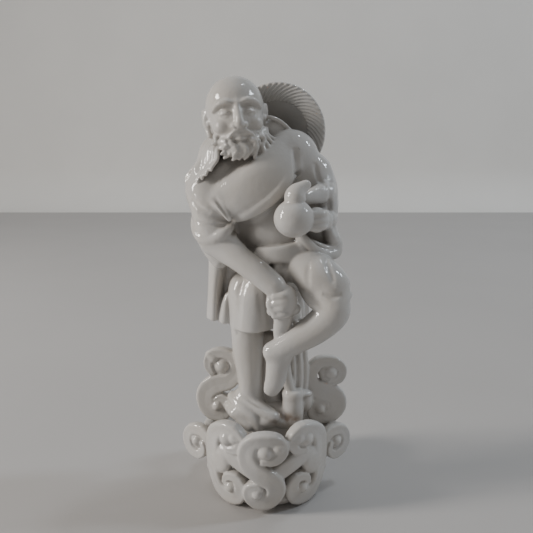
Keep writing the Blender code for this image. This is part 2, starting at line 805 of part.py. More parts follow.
HAT_AT = (
    Matrix.Translation((5.9, 16.4, 193.2))
    @ Euler((radians(-88), 0, radians(-3)), "XYZ").to_matrix().to_4x4()
)


def hat(clay):
    r = HAT_RADIUS / UNIT
    wall = HAT_WALL / UNIT
    clay.place = HAT_AT
    clay.turned(
        [
            (0.05 * r, 0.84 * r),
            (0.15 * r, 0.78 * r),
            (0.27 * r, 0.58 * r),
            (0.50 * r, 0.36 * r),
            (0.76 * r, 0.15 * r),
            (0.96 * r, 0.01 * r),
            (r, -0.05 * r),
            (0.985 * r, -0.05 * r - 0.6 * wall),
            (0.90 * r, 0.01 * r - 0.9 * wall),
            (0.74 * r, 0.13 * r - wall),
            (0.50 * r, 0.33 * r - wall),
            (0.27 * r, 0.52 * r - wall),
            (0.05 * r, 0.66 * r - wall),
        ],
        (0, 0, 0),
    )
    clay.place = Matrix.Identity(4)


# The head, in its own place: the face looks along -Y and the crown is up

HEAD_AT = (
    Matrix.Translation((-15.3, -1.0, 202.0))
    @ Euler((radians(-5), radians(-6), radians(7)), "XYZ").to_matrix().to_4x4()
)


def skull(clay):
    clay.place = HEAD_AT
    clay.ball((0, 2.0, 3.0), (14.6, 15.4, 15.0), segments=64)
    clay.ball((0, -1.0, -4.5), (13.2, 13.4, 13.0), segments=64)
    clay.ball((0, -2.5, -12.0), (11.4, 11.0, 9.0))
    clay.ball((0, 8.0, -9.0), (11.0, 7.5, 11.0))
    clay.place = Matrix.Identity(4)


def features(clay):
    """The face's softer forms: brow, nose and cheeks."""
    clay.place = HEAD_AT
    clay.limb(
        [
            (0, -12.6, 3.0, 2.0, 2.0),
            (0, -14.4, -1.4, 1.7, 2.0),
            (0, -16.0, -5.2, 2.0, 2.2),
            (0, -16.6, -7.4, 2.5, 2.2),
        ],
        steps=4,
    )
    for side in (-1, 1):
        clay.limb(
            [
                (1.6 * side, -13.0, 2.6, 1.2, 1.6),
                (5.4 * side, -12.9, 3.6, 1.5, 1.8),
                (9.2 * side, -10.8, 2.8, 1.4, 1.6),
                (11.6 * side, -7.6, 0.6, 1.0, 1.2),
            ],
            steps=4,
        )
        clay.ball((7.0 * side, -8.0, -6.6), (5.2, 4.9, 4.2), (0, 14 * side, 0))
    clay.ball((0, -11.4, -12.4), (5.4, 3.2, 3.6))
    clay.ball((0, -10.6, -18.0), (5.0, 4.0, 3.6))
    clay.place = Matrix.Identity(4)


def face(clay):
    clay.place = HEAD_AT
    for side in (-1, 1):
        # Wing of the nose
        clay.ball((2.5 * side, -14.7, -7.8), (1.8, 2.0, 1.5), segments=24)
        # Eyeball and lids
        clay.ball((5.5 * side, -10.8, -1.1), (3.1, 2.8, 2.2), segments=32)
        clay.limb(
            [
                (2.7 * side, -12.7, -1.7, 0.45, 0.6),
                (5.4 * side, -13.6, -1.3, 0.7, 0.8),
                (8.5 * side, -11.9, -1.9, 0.5, 0.6),
            ],
            sides=12,
        )
        clay.limb(
            [
                (2.9 * side, -12.4, -2.5, 0.4, 0.5),
                (5.5 * side, -13.0, -3.2, 0.6, 0.7),
                (8.3 * side, -11.7, -2.6, 0.4, 0.5),
            ],
            sides=12,
        )
        ear(clay, side)
    # Lips
    clay.limb(
        [
            (-4.2, -13.0, -12.4, 0.5, 0.7),
            (-1.6, -14.6, -11.8, 0.85, 1.0),
            (0, -14.6, -12.1, 0.8, 1.0),
            (1.6, -14.6, -11.8, 0.85, 1.0),
            (4.2, -13.0, -12.4, 0.5, 0.7),
        ],
        sides=12,
    )
    clay.limb(
        [(-3.4, -13.0, -13.5, 0.6, 0.8), (0, -14.4, -14.0, 1.1, 1.1), (3.4, -13.0, -13.5, 0.6, 0.8)],
        sides=12,
    )
    clay.place = Matrix.Identity(4)


def ear(clay, side):
    """A long-lobed ear, with a rolled rim round its bowl."""
    clay.limb(
        [
            (13.4 * side, 0.4, -0.6, 0.9, 1.1),
            (14.6 * side, 1.2, 2.0, 1.0, 1.2),
            (15.5 * side, 3.6, 2.6, 1.0, 1.2),
            (15.8 * side, 5.4, 0.0, 1.0, 1.2),
            (15.2 * side, 4.6, -4.0, 1.0, 1.1),
            (14.6 * side, 2.6, -7.4, 1.3, 1.4),
            (14.0 * side, 1.4, -9.6, 1.4, 1.4),
        ],
        up=(side, 0, 0),
        sides=14,
    )
    clay.ball((13.4 * side, 3.0, -2.2), (1.6, 2.8, 4.8), segments=24)
    clay.ball((13.9 * side, 0.6, -3.6), (1.1, 1.2, 1.7), segments=16)


def lock(clay, start, end, bow, thick, waves=0.0, count=7, thin=0.45):
    """A tapered lock of hair from start to end, bowed sideways and waved."""
    a, b, away = Vector(start), Vector(end), Vector(bow)
    run = b - a
    sideways = run.cross(Vector((0, -1, 0)))
    if sideways.length < 1e-6:
        sideways = Vector((1, 0, 0))
    sideways.normalize()
    stations = []
    for k in range(count):
        t = k / (count - 1)
        point = a + run * t + away * sin(pi * t) + sideways * (waves * sin(tau * 1.25 * t))
        size = thick * (1 - (1 - thin) * t)
        stations.append((*point, size, size))
    clay.limb(stations, sides=12, steps=3)


def beard(clay):
    clay.place = HEAD_AT
    # Moustache, from under the nose down past the corners of the mouth
    for side in (-1, 1):
        lock(clay, (0.8 * side, -15.0, -10.0), (6.6 * side, -12.8, -13.4), (0, -0.9, 0.7), 1.15)
        lock(clay, (1.8 * side, -14.6, -10.4), (8.2 * side, -11.6, -14.8), (0, -0.8, 0.4), 1.1, 0.3)
        lock(clay, (5.2 * side, -13.0, -12.6), (9.0 * side, -10.4, -17.6), (0.6 * side, -0.6, 0), 1.1)
    # Short curls along the jaw, in three rows
    for row, (top, drop, out) in enumerate(((-14.4, 3.8, 0.0), (-16.8, 4.0, 0.4), (-19.0, 3.6, 0.2))):
        count = 18 - row
        for k in range(count):
            a = radians(-86 + 172 * k / (count - 1))
            chin = cos(a)
            wide, deep = 11.0 - 0.8 * row, 11.6 - 1.2 * row
            root = (
                wide * sin(a),
                -2.6 - deep * chin,
                top + 5.0 * (1 - chin) ** 1.5 + 0.5 * ((k * 7) % 3 - 1),
            )
            swing = 1.6 * sin(2.4 * k + row)
            tip = (
                root[0] + swing + 1.2 * sin(a),
                root[1] - 0.6 * chin - out,
                root[2] - drop * (0.75 + 0.45 * chin),
            )
            if abs(sin(a)) < 0.30 and row == 0:
                continue
            lock(clay, root, tip, (0.3 * swing, -1.0 * chin, 0), 1.25, 0.8, thin=0.65)
    clay.ball((0, -9.5, -18.5), (8.6, 5.6, 4.6), segments=24)
    clay.place = Matrix.Identity(4)


def hair(clay):
    clay.place = HEAD_AT
    # A fringe of hair round the back of the bald crown
    for k in range(15):
        a = radians(-96 + 192 * k / 14)
        root = (14.4 * sin(a), 3.4 + 13.0 * cos(a), 0.5 - 1.0 * cos(a))
        tip = (13.0 * sin(a) + 1.0 * sin(3 * k), 5.0 + 10.5 * cos(a), -19.0 + 2.5 * cos(5 * k))
        lock(clay, root, tip, (0.2 * sin(a), 0.8 * cos(a), 0), 2.0, 0.9, thin=0.6)
    clay.place = Matrix.Identity(4)
    # Long wavy strands that spread over the viewer's left shoulder
    clay.limb([(-25.0, 1.0, 189, 3.2, 4.4), (-29.6, -0.5, 180, 4.2, 5.0), (-33.2, -3.0, 172.6, 4.8, 4.0)])
    for start, end, waves, thick in (
        ((-27.6, 2.4, 190), (-40.2, 0.0, 169.0), 1.0, 1.35),
        ((-27.4, 1.0, 189.5), (-39.6, -2.2, 167.4), 1.3, 1.35),
        ((-26.8, -0.6, 189), (-38.2, -4.2, 166.8), 1.0, 1.35),
        ((-26.2, -2.0, 188.5), (-36.4, -6.4, 166.6), 1.3, 1.4),
        ((-25.6, -3.4, 188), (-34.6, -8.4, 167.0), 1.1, 1.4),
        ((-24.8, -4.8, 187.6), (-32.6, -10.2, 168.2), 1.4, 1.4),
        ((-23.8, -6.2, 187.2), (-30.6, -11.6, 169.6), 1.1, 1.35),
        ((-22.6, -7.6, 186.8), (-28.4, -12.8, 171.6), 1.2, 1.35),
        ((-21.2, -8.8, 186.2), (-26.0, -13.8, 174.0), 0.9, 1.3),
    ):
        lock(clay, start, end, (-0.6, -1.4, 1.0), thick, waves, count=13, thin=0.6)
    # Shorter curls at the other side, behind the jaw
    for start, end, waves in (
        ((-1.5, -3.0, 194), (3.4, -8.0, 181.0), 0.9),
        ((-0.5, 0.0, 194), (5.6, -5.6, 183.0), 1.0),
        ((-2.6, -5.5, 193), (0.8, -10.6, 179.5), 0.9),
        ((-4.0, -7.5, 191), (-2.0, -12.2, 178.5), 0.8),
    ):
        lock(clay, start, end, (0.8, -1.0, 0), 1.6, waves, count=9, thin=0.5)


def lump(clay, name):
    mesh = bpy.data.meshes.new(name)
    mesh.from_pydata([p * UNIT for p in clay.points], [], clay.faces)
    made = bpy.data.objects.new(name, mesh)
    bpy.context.scene.collection.objects.link(made)
    return made


def fuse(clay, size, soften):
    """The clay as one mesh: fused by voxels, then softened as glaze rounds an edge."""
    made = lump(clay, "clay")
    remesh = made.modifiers.new("Fuse", "REMESH")
    remesh.mode = "VOXEL"
    remesh.voxel_size = size
    smooth = made.modifiers.new("Soften", "SMOOTH")
    smooth.factor = 0.5
    smooth.iterations = soften
    graph = bpy.context.evaluated_depsgraph_get()
    fused = bpy.data.meshes.new_from_object(made.evaluated_get(graph))
    bpy.data.objects.remove(made)
    fill_bubbles(fused)
    return fused


def fill_bubbles(mesh):
    """Keeps the one outer skin, and fills the tiny bubbles left between forms that touch."""
    shape = bmesh.new()
    shape.from_mesh(mesh)
    seen = set()
    skins = []
    for first in shape.verts:
        if first in seen:
            continue
        seen.add(first)
        skin = [first]
        for vert in skin:
            for edge in vert.link_edges:
                other = edge.other_vert(vert)
                if other not in seen:
                    seen.add(other)
                    skin.append(other)
        skins.append(skin)
    skins.sort(key=len)
    bubbles = [vert for skin in skins[:-1] for vert in skin]
    bmesh.ops.delete(shape, geom=bubbles, context="VERTS")
    shape.to_mesh(mesh)
    shape.free()


def press(mesh, strokes):
    """Presses creases into a mesh and raises ridges on it.

    A stroke is a path, its half width, its height (negative for a crease) and the way it faces.
    """
    count = len(mesh.vertices)
    points = np.zeros(3 * count, "f")
    normals = np.zeros(3 * count, "f")
    mesh.vertices.foreach_get("co", points)
    mesh.vertex_normals.foreach_get("vector", normals)
    points = points.reshape(count, 3) / UNIT
    normals = normals.reshape(count, 3)
    moves = np.zeros(count)
    for path, half_width, height, facing in strokes:
        line = smooth_path(path, 6)
        facing = np.array(Vector(facing).normalized())
        reach = half_width + PRESS_DEPTH
        near = np.all((points > line.min(0) - reach) & (points < line.max(0) + reach), axis=1)
        near &= normals @ facing > 0.1
        chosen = np.nonzero(near)[0]
        if not len(chosen):
            continue
        # The distance to the path, seen from where the stroke faces
        legs = line[1:] - line[:-1]
        leg_depths = legs @ facing
        flat_legs = legs - np.outer(leg_depths, facing)
        gaps = points[chosen][:, None, :] - line[None, :-1, :]
        depths = gaps @ facing
        flat_gaps = gaps - depths[..., None] * facing
        along = (flat_gaps * flat_legs).sum(2) / (flat_legs**2).sum(1)
        along = np.clip(along, 0, 1)
        off = np.linalg.norm(flat_gaps - along[..., None] * flat_legs, axis=2)
        off = np.where(abs(depths - along * leg_depths) < PRESS_DEPTH, off, 1e6)
        best = off.argmin(axis=1)
        rows = np.arange(len(chosen))
        place = (best + along[rows, best]) / len(legs)
        shape = np.clip(1 - (off[rows, best] / half_width) ** 2, 0, 1) ** 2
        moves[chosen] += height * shape * np.sin(pi * place) ** 0.5
    points += normals * moves[:, None]
    mesh.vertices.foreach_set("co", (points * UNIT).astype("f").ravel())
    mesh.update()


PRESS_DEPTH = 5.0
FRONT = (0, -1, 0.1)
LEFT_FRONT = (-0.5, -1, 0)
STROKES = [
    # Folds of the sleeve at the left, which run together at the elbow
    ([(-33, -11, 154.0), (-25.3, -15, 151.6), (-18, -16, 148.8)], 1.7, -0.9, LEFT_FRONT),
    ([(-34.2, -10, 149.6), (-26.5, -15, 147.6), (-18, -16.5, 147.4)], 1.5, -0.8, LEFT_FRONT),
    ([(-25.6, -14.6, 162.0), (-21.2, -16, 155.6), (-17.6, -16.6, 150.6)], 1.6, -0.9, FRONT),
    ([(-36, -7, 160.0), (-33, -11, 157.0), (-27, -14, 153.6)], 1.8, -0.7, LEFT_FRONT),
    # The crease between the chest and the far shoulder
    ([(14.0, -7, 185), (14.8, -11, 176), (16.1, -12, 166)], 2.4, -1.6, FRONT),
    ([(24.0, -6, 178), (25.8, -8, 171), (29.8, -8, 164)], 1.8, -0.8, FRONT),
    ([(32.6, -4, 174), (31.4, -8, 162), (32.6, -7, 150), (36.4, -6, 141)], 1.8, -0.9, FRONT),
    # Folds of the tunic
    ([(-13.0, -15, 120), (-14.0, -16, 106), (-15.6, -17, 90.0)], 2.4, -0.6, FRONT),
    ([(-4.6, -15, 118), (-2.6, -16, 104), (-1.6, -17, 90.0)], 2.4, -0.5, FRONT),
    # The trouser leg's creases at the knee
    ([(28.4, -14, 132), (30.6, -22, 126), (32.4, -26, 121.0)], 2.2, -0.9, FRONT),
    ([(21.0, -16, 130), (20.0, -22, 124), (20.6, -22, 118)], 2.0, -0.5, FRONT),
    ([(27.0, -26, 116.0), (32.0, -27, 114.6), (36.6, -24, 115.4)], 2.0, -0.8, FRONT),
    # The rocks and the standing foot
    ([(-14.8, -11, 57.4), (-5.6, -15, 53.0), (4.4, -18, 50.2)], 1.5, -0.9, FRONT),
]


def glaze():
    material = bpy.data.materials.new("White porcelain glaze")
    material.diffuse_color = PORCELAIN
    material.use_nodes = True
    shader = material.node_tree.nodes["Principled BSDF"]
    shader.inputs["Base Color"].default_value = PORCELAIN
    shader.inputs["Roughness"].default_value = PORCELAIN_ROUGHNESS
    return material


def sculpt(size=FUSE_SIZE):
    """The whole figurine's mesh: soft masses first, then cloth over them, then crisp forms."""
    clay = Clay()
    for form in (masses, thigh, legs):
        form(clay)
    clay = regained(fuse(clay, 0.0012, 8))
    for form in (skirts, robe, right_sleeve, trousers, mound, skull, features):
        form(clay)
    clay = regained(fuse(clay, max(size, 0.00055), 5))
    for form in (base, clouds, trunk, right_hand, crutch, left_arm, gourd, collar, hat):
        form(clay)
    for form in (face, beard, hair):
        form(clay)
    mesh = fuse(clay, size, 3)
    press(mesh, STROKES)
    return mesh


def regained(mesh):
    """A fused mesh as clay again."""
    clay = Clay()
    clay.add([v.co / UNIT for v in mesh.vertices], [tuple(p.vertices) for p in mesh.polygons])
    return clay


def settle(mesh):
    """Grinds the foot flat, and puts the origin at the middle of the space it stands on."""
    count = len(mesh.vertices)
    points = np.zeros(3 * count, "f")
    mesh.vertices.foreach_get("co", points)
    points = points.reshape(count, 3)
    points[points[:, 2] < FOOT_GRIND, 2] = 0.0
    middle = 0.5 * (points.min(axis=0) + points.max(axis=0))
    points[:, :2] -= middle[:2]
    mesh.vertices.foreach_set("co", points.ravel())
    mesh.update()
    return (-middle[0], -middle[1], 0.0)


def thinned(mesh):
    """The mesh with fewer triangles. The head is thinned out first, and keeps more of its own."""
    full = bpy.data.objects.new("full", mesh)
    bpy.context.scene.collection.objects.link(full)
    centre = HEAD_AT @ Vector((0, -6, -6)) * UNIT
    near = [v.index for v in mesh.vertices if (v.co - centre).length < HEAD_REACH]
    head = full.vertex_groups.new(name="Head")
    head.add(near, 1.0, "REPLACE")
    mesh.calc_loop_triangles()
    total = len(mesh.loop_triangles)
    kept = total - 2 * len(near) + HEAD_TRIANGLES
    for name, ratio, others in (("Head", kept / total, False), ("Body", TRIANGLES / kept, True)):
        thin = full.modifiers.new(name, "DECIMATE")
        thin.ratio = ratio
        thin.vertex_group = head.name
        thin.invert_vertex_group = others
        thin.vertex_group_factor = 1.0
    graph = bpy.context.evaluated_depsgraph_get()
    result = bpy.data.meshes.new_from_object(full.evaluated_get(graph))
    bpy.data.objects.remove(full)
    return result


def main():
    clear_scene()
    mesh = thinned(sculpt())
    settle(mesh)
    mesh.materials.append(glaze())
    mesh.shade_smooth()
    figure = bpy.data.objects.new(NAME, mesh)
    shelf = bpy.data.collections.new("Porcelain figurine")
    bpy.context.scene.collection.children.link(shelf)
    shelf.objects.link(figure)


if __name__ == "__main__":
    main()
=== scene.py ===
"""A blanc de chine figurine: a bearded immortal with crutch, gourd and straw hat, on clouds."""
import json

from math import atan2, cos, degrees, exp, pi, radians, sin, tau

import bmesh
import bpy
import numpy as np
from mathutils import Euler, Matrix, Vector

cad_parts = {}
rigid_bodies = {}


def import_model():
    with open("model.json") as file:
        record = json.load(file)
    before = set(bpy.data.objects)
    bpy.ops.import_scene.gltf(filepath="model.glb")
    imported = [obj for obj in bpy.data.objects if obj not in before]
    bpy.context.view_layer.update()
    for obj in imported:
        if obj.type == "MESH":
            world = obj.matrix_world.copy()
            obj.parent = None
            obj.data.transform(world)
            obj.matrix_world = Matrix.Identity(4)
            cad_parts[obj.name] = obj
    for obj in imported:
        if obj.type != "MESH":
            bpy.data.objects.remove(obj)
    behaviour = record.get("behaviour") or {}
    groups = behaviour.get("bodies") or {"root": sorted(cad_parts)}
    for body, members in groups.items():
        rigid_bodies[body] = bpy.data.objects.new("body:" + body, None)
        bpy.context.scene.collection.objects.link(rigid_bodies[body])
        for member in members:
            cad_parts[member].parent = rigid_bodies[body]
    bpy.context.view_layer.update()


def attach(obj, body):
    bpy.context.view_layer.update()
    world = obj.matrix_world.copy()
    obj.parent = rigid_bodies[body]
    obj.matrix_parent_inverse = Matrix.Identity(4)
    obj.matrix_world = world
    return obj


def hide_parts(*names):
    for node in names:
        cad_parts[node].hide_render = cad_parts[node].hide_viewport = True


for thing in list(bpy.data.objects):
    bpy.data.objects.remove(thing)
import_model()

# The figurine's sizes
HEIGHT = 0.220
FOOT_RADIUS = 0.0255
FOOT_RECESS_RADIUS = 0.017
FOOT_RECESS_DEPTH = 0.0025
FOOT_GRIND = 0.0003
PLATE_RADIUS = 0.0305
PLATE_THICKNESS = 0.009
GOURD_RADIUS = 0.0092
HAT_RADIUS = 0.0253
HAT_WALL = 0.0030
CRUTCH_RADIUS = 0.0030

# The forms are given in design units, which are millimetres at this height
DESIGN_HEIGHT = 220.0
UNIT = HEIGHT / DESIGN_HEIGHT

# The three fusings of the clay: the size of the grid, and the rounds of softening after it
SOFT_FUSE = (0.0012, 8)
CLOTH_FUSE = (0.00055, 5)
CRISP_FUSE = (0.0004, 3)
SCENE_TRIANGLES = 196000

# The ring of clouds, in design units: its inset at the foot, its flare, the height within which
# most of the flare is reached, and its lean above that
RING_INSET = 3.5
RING_FLARE = 4.5
FLARE_RISE = 12
RING_LEAN = 0.025

# How far from a stroke's path, in depth, the surface is still pressed
PRESS_DEPTH = 5.0

# The hat's straw. A brim straw has a start, a middle and an end: how far out, turned by how many
# radians, and how high. The coil is on the hat's back. Both are in shares of the hat's radius
STRAW_RADIUS = 0.00052
STRAW_SIDES = 8
STRAWS = 50
BRIM_STRAW = {
    "Start": (0.62, 0.0, 0.095),
    "Middle": (0.82, 0.20, -0.052),
    "End": (0.975, 0.52, -0.130),
}
BRIM_STEPS = 10
COIL = {"Start Radius": 0.97, "End Radius": 0.27, "Height": 0.57}
COIL_SUNK = 0.028
COIL_TURNS = 9
COIL_STEPS = 40

# The glaze: its colours, of which the pooled one is partly pooled glaze and partly painted shade in
# the hollows, where the kiln stained it (centre, size, strength) and its relief
GLAZE_WHITE = (0.64, 0.63, 0.615, 1.0)
GLAZE_CREAM = (0.62, 0.595, 0.56, 1.0)
GLAZE_POOLED_SHADE = (0.36, 0.33, 0.295, 1.0)
GLAZE_THIN = (0.70, 0.69, 0.67, 1.0)
KILN_BROWN = (0.20, 0.10, 0.035, 1.0)
KILN_STAINS = [
    ((0.0098, -0.0168, 0.0448), (0.0100, 0.0100, 0.0050), 0.8),
    ((0.0150, -0.0160, 0.0440), (0.0050, 0.0050, 0.0040), 0.5),
]
GLAZE_ROUGHNESS = (0.03, 0.08)
# How far the occlusion looks, and how much of the pooled colour it paints into hollows: pooled
# glaze and painted shade
POOLED_SHADE_REACH = 0.016
POOLED_SHADE_SHARE = 0.60
THIN_SHARE = 0.30
PINHOLE_SHARE = 0.14
GRIT_SHARE = 0.10
RELIEF_DEPTH = 0.00010

# The studio. A lamp has a name, a place, a width and height, a power in watts and a colour
TABLE_GREY = (0.50, 0.485, 0.475, 1.0)
WALL_WHITE = (0.88, 0.865, 0.835, 1.0)
WALL_DISTANCE = 1.44
WALL_BEND = 0.12
BEND_STEPS = 12
LAMPS = [
    ("window at the left", (-1.25, -0.20, 0.62), (0.20, 0.60), 16.0, (1.0, 0.95, 0.89)),
    ("window at the right", (1.84, 0.24, 1.60), (0.20, 0.70), 14.0, (0.80, 0.90, 1.0)),
    ("skylight", (0.84, 0.44, 2.40), (0.24, 0.24), 8.0, (0.84, 0.92, 1.0)),
]
LAMP_AIM = (0, 0, 0.11)
AIR_COLOUR = (0.67, 0.655, 0.635, 1)
AIR_STRENGTH = 0.33

# The camera: its focal length and picture width in pixels, its sensor in millimetres
PHOTO_WIDTH = 533
CAMERA_FOCUS = 570
SENSOR = 36.0
CAMERA_PLACE = (0.0, -0.29374, 0.18616)
CAMERA_PITCH = 12.0

STANDING = Matrix.Identity(4)
HAT_AT = (
    Matrix.Translation((5.9, 16.4, 193.2))
    @ Euler((radians(-88), 0, radians(-3)), "XYZ").to_matrix().to_4x4()
)
# In the head's own place the face looks along -Y and the crown is up
HEAD_AT = (
    Matrix.Translation((-15.3, -1.0, 202.0))
    @ Euler((radians(-5), radians(-6), radians(7)), "XYZ").to_matrix().to_4x4()
)


def smooth_path(points, steps):
    """Catmull-Rom points through rows of numbers, with steps points to each span."""
    rows = np.array(points, float)
    padded = np.vstack([2 * rows[0] - rows[1], rows, 2 * rows[-1] - rows[-2]])
    path = []
    for i in range(len(rows) - 1):
        before, start, end, after = padded[i : i + 4]
        for t in np.arange(steps) / steps:
            path.append(
                start
                + 0.5 * t * (end - before)
                + t * t * (before - 2.5 * start + 2 * end - 0.5 * after)
                + t**3 * (1.5 * (start - end) + 0.5 * (after - before))
            )
    path.append(rows[-1])
    return np.array(path)


def unit_rows(rows):
    lengths = np.linalg.norm(rows, axis=1, keepdims=True)
    return rows / np.maximum(lengths, 1e-9)


class Clay:
    """Overlapping closed forms, in design units, which are fused into one solid."""

    def __init__(self):
        self.points = []
        self.faces = []
        self.place = STANDING

    def build(self, forms, place=STANDING):
        """Adds forms that are given in one place, such as the head's own."""
        self.place = place
        for form in forms:
            form(self)
        self.place = STANDING

    def add(self, points, faces):
        base = len(self.points)
        self.points += [self.place @ Vector(p) for p in points]
        self.faces += [tuple(base + i for i in face) for face in faces]

    def add_mesh(self, mesh, unit=1.0):
        self.add([v.co / unit for v in mesh.vertices], [tuple(p.vertices) for p in mesh.polygons])

    def skin(self, rings):
        """A closed form through rings of equally many points, with a fan over each end."""
        count = len(rings[0])
        points = [p for ring in rings for p in ring]
        faces = []
        for r in range(len(rings) - 1):
            for i in range(count):
                j = (i + 1) % count
                low, high = r * count, (r + 1) * count
                faces.append((low + i, low + j, high + j, high + i))
        for ring, turned in ((0, True), (len(rings) - 1, False)):
            centre = len(points)
            points.append(np.mean(np.array(rings[ring]), axis=0))
            for i in range(count):
                j = (i + 1) % count
                pair = (ring * count + i, ring * count + j)
                faces.append((*(pair[::-1] if turned else pair), centre))
        self.add(points, faces)

    def ball(self, centre, radii, turn=(0, 0, 0), segments=48):
        """An ellipsoid, turned by degrees about X, Y and Z."""
        matrix = Matrix.LocRotScale(
            Vector(centre), Euler([radians(a) for a in turn]), Vector(radii)
        )
        shape = bmesh.new()
        bmesh.ops.create_uvsphere(
            shape, u_segments=segments, v_segments=segments // 2, radius=1.0, matrix=matrix
        )
        self.add([v.co for v in shape.verts], [[v.index for v in f.verts] for f in shape.faces])
        shape.free()

    def limb(self, stations, up=(0, -1, 0), sides=32, steps=8, square=1.0, dish=0.0):
        """A swept form. A station is a point, its half width across and its half depth along up.

        A square under 1 makes the section boxier, and a dish hollows its upper face.
        """
        rows = smooth_path(stations, steps)
        path, across_size, up_size = rows[:, :3], rows[:, 3], rows[:, 4]
        along = unit_rows(np.gradient(path, axis=0))
        ups = np.array(up, float)
        if ups.ndim == 1:
            ups = np.tile(ups, (len(path), 1))
        else:
            ups = smooth_path(ups, steps)
        across = unit_rows(np.cross(along, ups))
        ups = unit_rows(np.cross(across, along))
        angles = np.arange(sides) * tau / sides
        c, s = np.cos(angles), np.sin(angles)
        c, s = np.sign(c) * abs(c) ** square, np.sign(s) * abs(s) ** square
        s = np.where(s > 0, s * (1 - dish * (1 - c**2)), s)
        rings = []

        def ring(i, share, shift):
            centre = path[i] + along[i] * shift
            return (
                centre
                + share * across_size[i] * c[:, None] * across[i]
                + share * up_size[i] * s[:, None] * ups[i]
            )

        round_end = [radians(a) for a in (80, 55, 30)]
        first = min(across_size[0], up_size[0])
        last = min(across_size[-1], up_size[-1])
        for a in round_end:
            rings.append(ring(0, cos(a), -first * sin(a)))
        for i in range(len(path)):
            rings.append(ring(i, 1.0, 0.0))
        for a in reversed(round_end):
            rings.append(ring(len(path) - 1, cos(a), last * sin(a)))
        self.skin([list(r) for r in rings])

    def drape(self, levels, folds=0, depth=0.0, phase=0.0, sides=96, steps=6):
        """A hanging form through oval levels: a centre, a half width and a half depth each.

        Its folds are waves around it, and grow from none at the first level.
        """
        rows = smooth_path(levels, steps)
        angles = np.arange(sides) * tau / sides
        rings = []
        for k, (x, y, z, wide, deep) in enumerate(rows):
            share = k / (len(rows) - 1)
            wave = 1 + depth * share * np.cos(folds * angles + phase + 0.6 * np.sin(angles))
            rings.append(
                [
                    (x + wide * w * cos(a), y + deep * w * sin(a), z)
                    for a, w in zip(angles, wave)
                ]
            )
        if rows[0][2] > rows[-1][2]:
            rings.reverse()
        self.skin(rings)

    def turned(self, profile, centre=(0, 0, 0), sides=96):
        """A profile of (radius, height) spun about an upright axis, from one end to the other."""
        middle = Vector(centre)
        angles = np.arange(sides) * tau / sides
        self.skin([
            [middle + Vector((r * cos(a), r * sin(a), z)) for a in angles] for r, z in profile
        ])


# The ring of clouds. A ribbon's path is given in the cloud's own plane: across, up, half width

FRONT_CLOUD = [
    (-1.9, 31.4, 1.6), (3.6, 31.8, 2.5), (7.3, 36.2, 2.9), (5.4, 41.8, 3.3), (-0.6, 43.4, 3.4),
    (-6.8, 40.9, 4.1), (-9.1, 34.6, 4.6), (-7.2, 27.8, 5.2), (-2.0, 23.2, 5.2), (3.2, 19.2, 5.2),
    (4.4, 13.2, 4.9), (1.0, 7.8, 4.5), (-4.1, 6.4, 4.0), (-8.4, 9.8, 3.3), (-8.2, 15.2, 2.6),
    (-4.8, 17.0, 2.0), (-2.5, 14.9, 1.5),
]
FRONT_BOSSES = [(-0.4, 36.8, 3.7), (-4.4, 12.3, 2.7)]
SIDE_CLOUD = [
    (-3.8, 34.2, 1.6), (-9.3, 35.4, 2.5), (-11.5, 40.6, 2.9), (-7.3, 45.4, 3.3), (-0.2, 44.4, 3.7),
    (5.5, 38.8, 5.0), (7.4, 31.0, 6.0), (8.6, 22.8, 6.3), (9.4, 14.6, 6.0), (6.3, 7.6, 5.4),
    (0.2, 5.2, 4.8), (-7.4, 6.4, 4.2), (-10.6, 13.2, 3.5), (-7.6, 18.8, 2.8), (-2.4, 17.6, 2.2),
    (-0.4, 13.2, 1.7),
]
SIDE_BOSSES = [(-3.4, 39.8, 3.5), (-4.2, 11.9, 2.8)]
SIDE_BAND = [(2.5, 30.4, 4.4), (-6.0, 29.6, 4.8), (-12.0, 26.6, 4.8), (-18.5, 22.5, 4.4)]
SIDE_WEDGE = [(3.0, 29.0, 5.5), (2.0, 26.0, 7.0), (4.0, 21.0, 5.0)]
FAR_CLOUD = [
    (8.0, 30.3, 3.4), (2.5, 33.4, 3.2), (-4.4, 32.2, 3.2), (-7.6, 26.4, 3.2), (-5.2, 20.4, 3.0),
    (0.8, 18.8, 2.6), (4.4, 22.6, 2.0), (3.4, 26.4, 1.5),
]
FAR_BOSSES = [(-0.8, 26.6, 2.8)]
LEFT_TALL_CLOUD = [
    (-2.9, 64.4, 1.4), (-5.3, 69.4, 2.2), (-3.5, 75.0, 2.6), (2.8, 76.6, 2.7), (9.0, 73.9, 3.0),
    (10.4, 67.2, 3.6), (6.6, 60.8, 4.6), (-1.4, 58.2, 5.3), (-6.6, 53.4, 5.1), (-6.8, 46.7, 4.8),
    (-3.1, 41.4, 4.3), (3.1, 41.4, 3.8), (5.6, 46.8, 3.0), (2.3, 50.8, 2.3), (-1.4, 48.6, 1.6),
]
LEFT_TALL_BOSSES = [(2.6, 69.2, 3.6), (-0.4, 45.8, 2.6)]
RIGHT_TALL_CLOUD = [
    (2.5, 59.6, 1.5), (8.0, 60.8, 2.4), (9.6, 66.6, 2.7), (4.8, 71.4, 2.7), (-3.4, 71.0, 3.2),
    (-8.1, 64.6, 3.8), (-6.6, 57.6, 4.9), (0.2, 54.0, 5.5), (6.3, 50.6, 5.3), (7.4, 44.3, 4.9),
    (2.8, 39.8, 4.4), (-3.7, 39.7, 4.0), (-6.8, 44.6, 3.2), (-4.3, 48.8, 2.5), (0.2, 47.6, 1.9),
    (0.9, 44.9, 1.4),
]
RIGHT_TALL_BOSSES = [(3.2, 65.0, 3.5), (-2.4, 44.2, 2.6)]


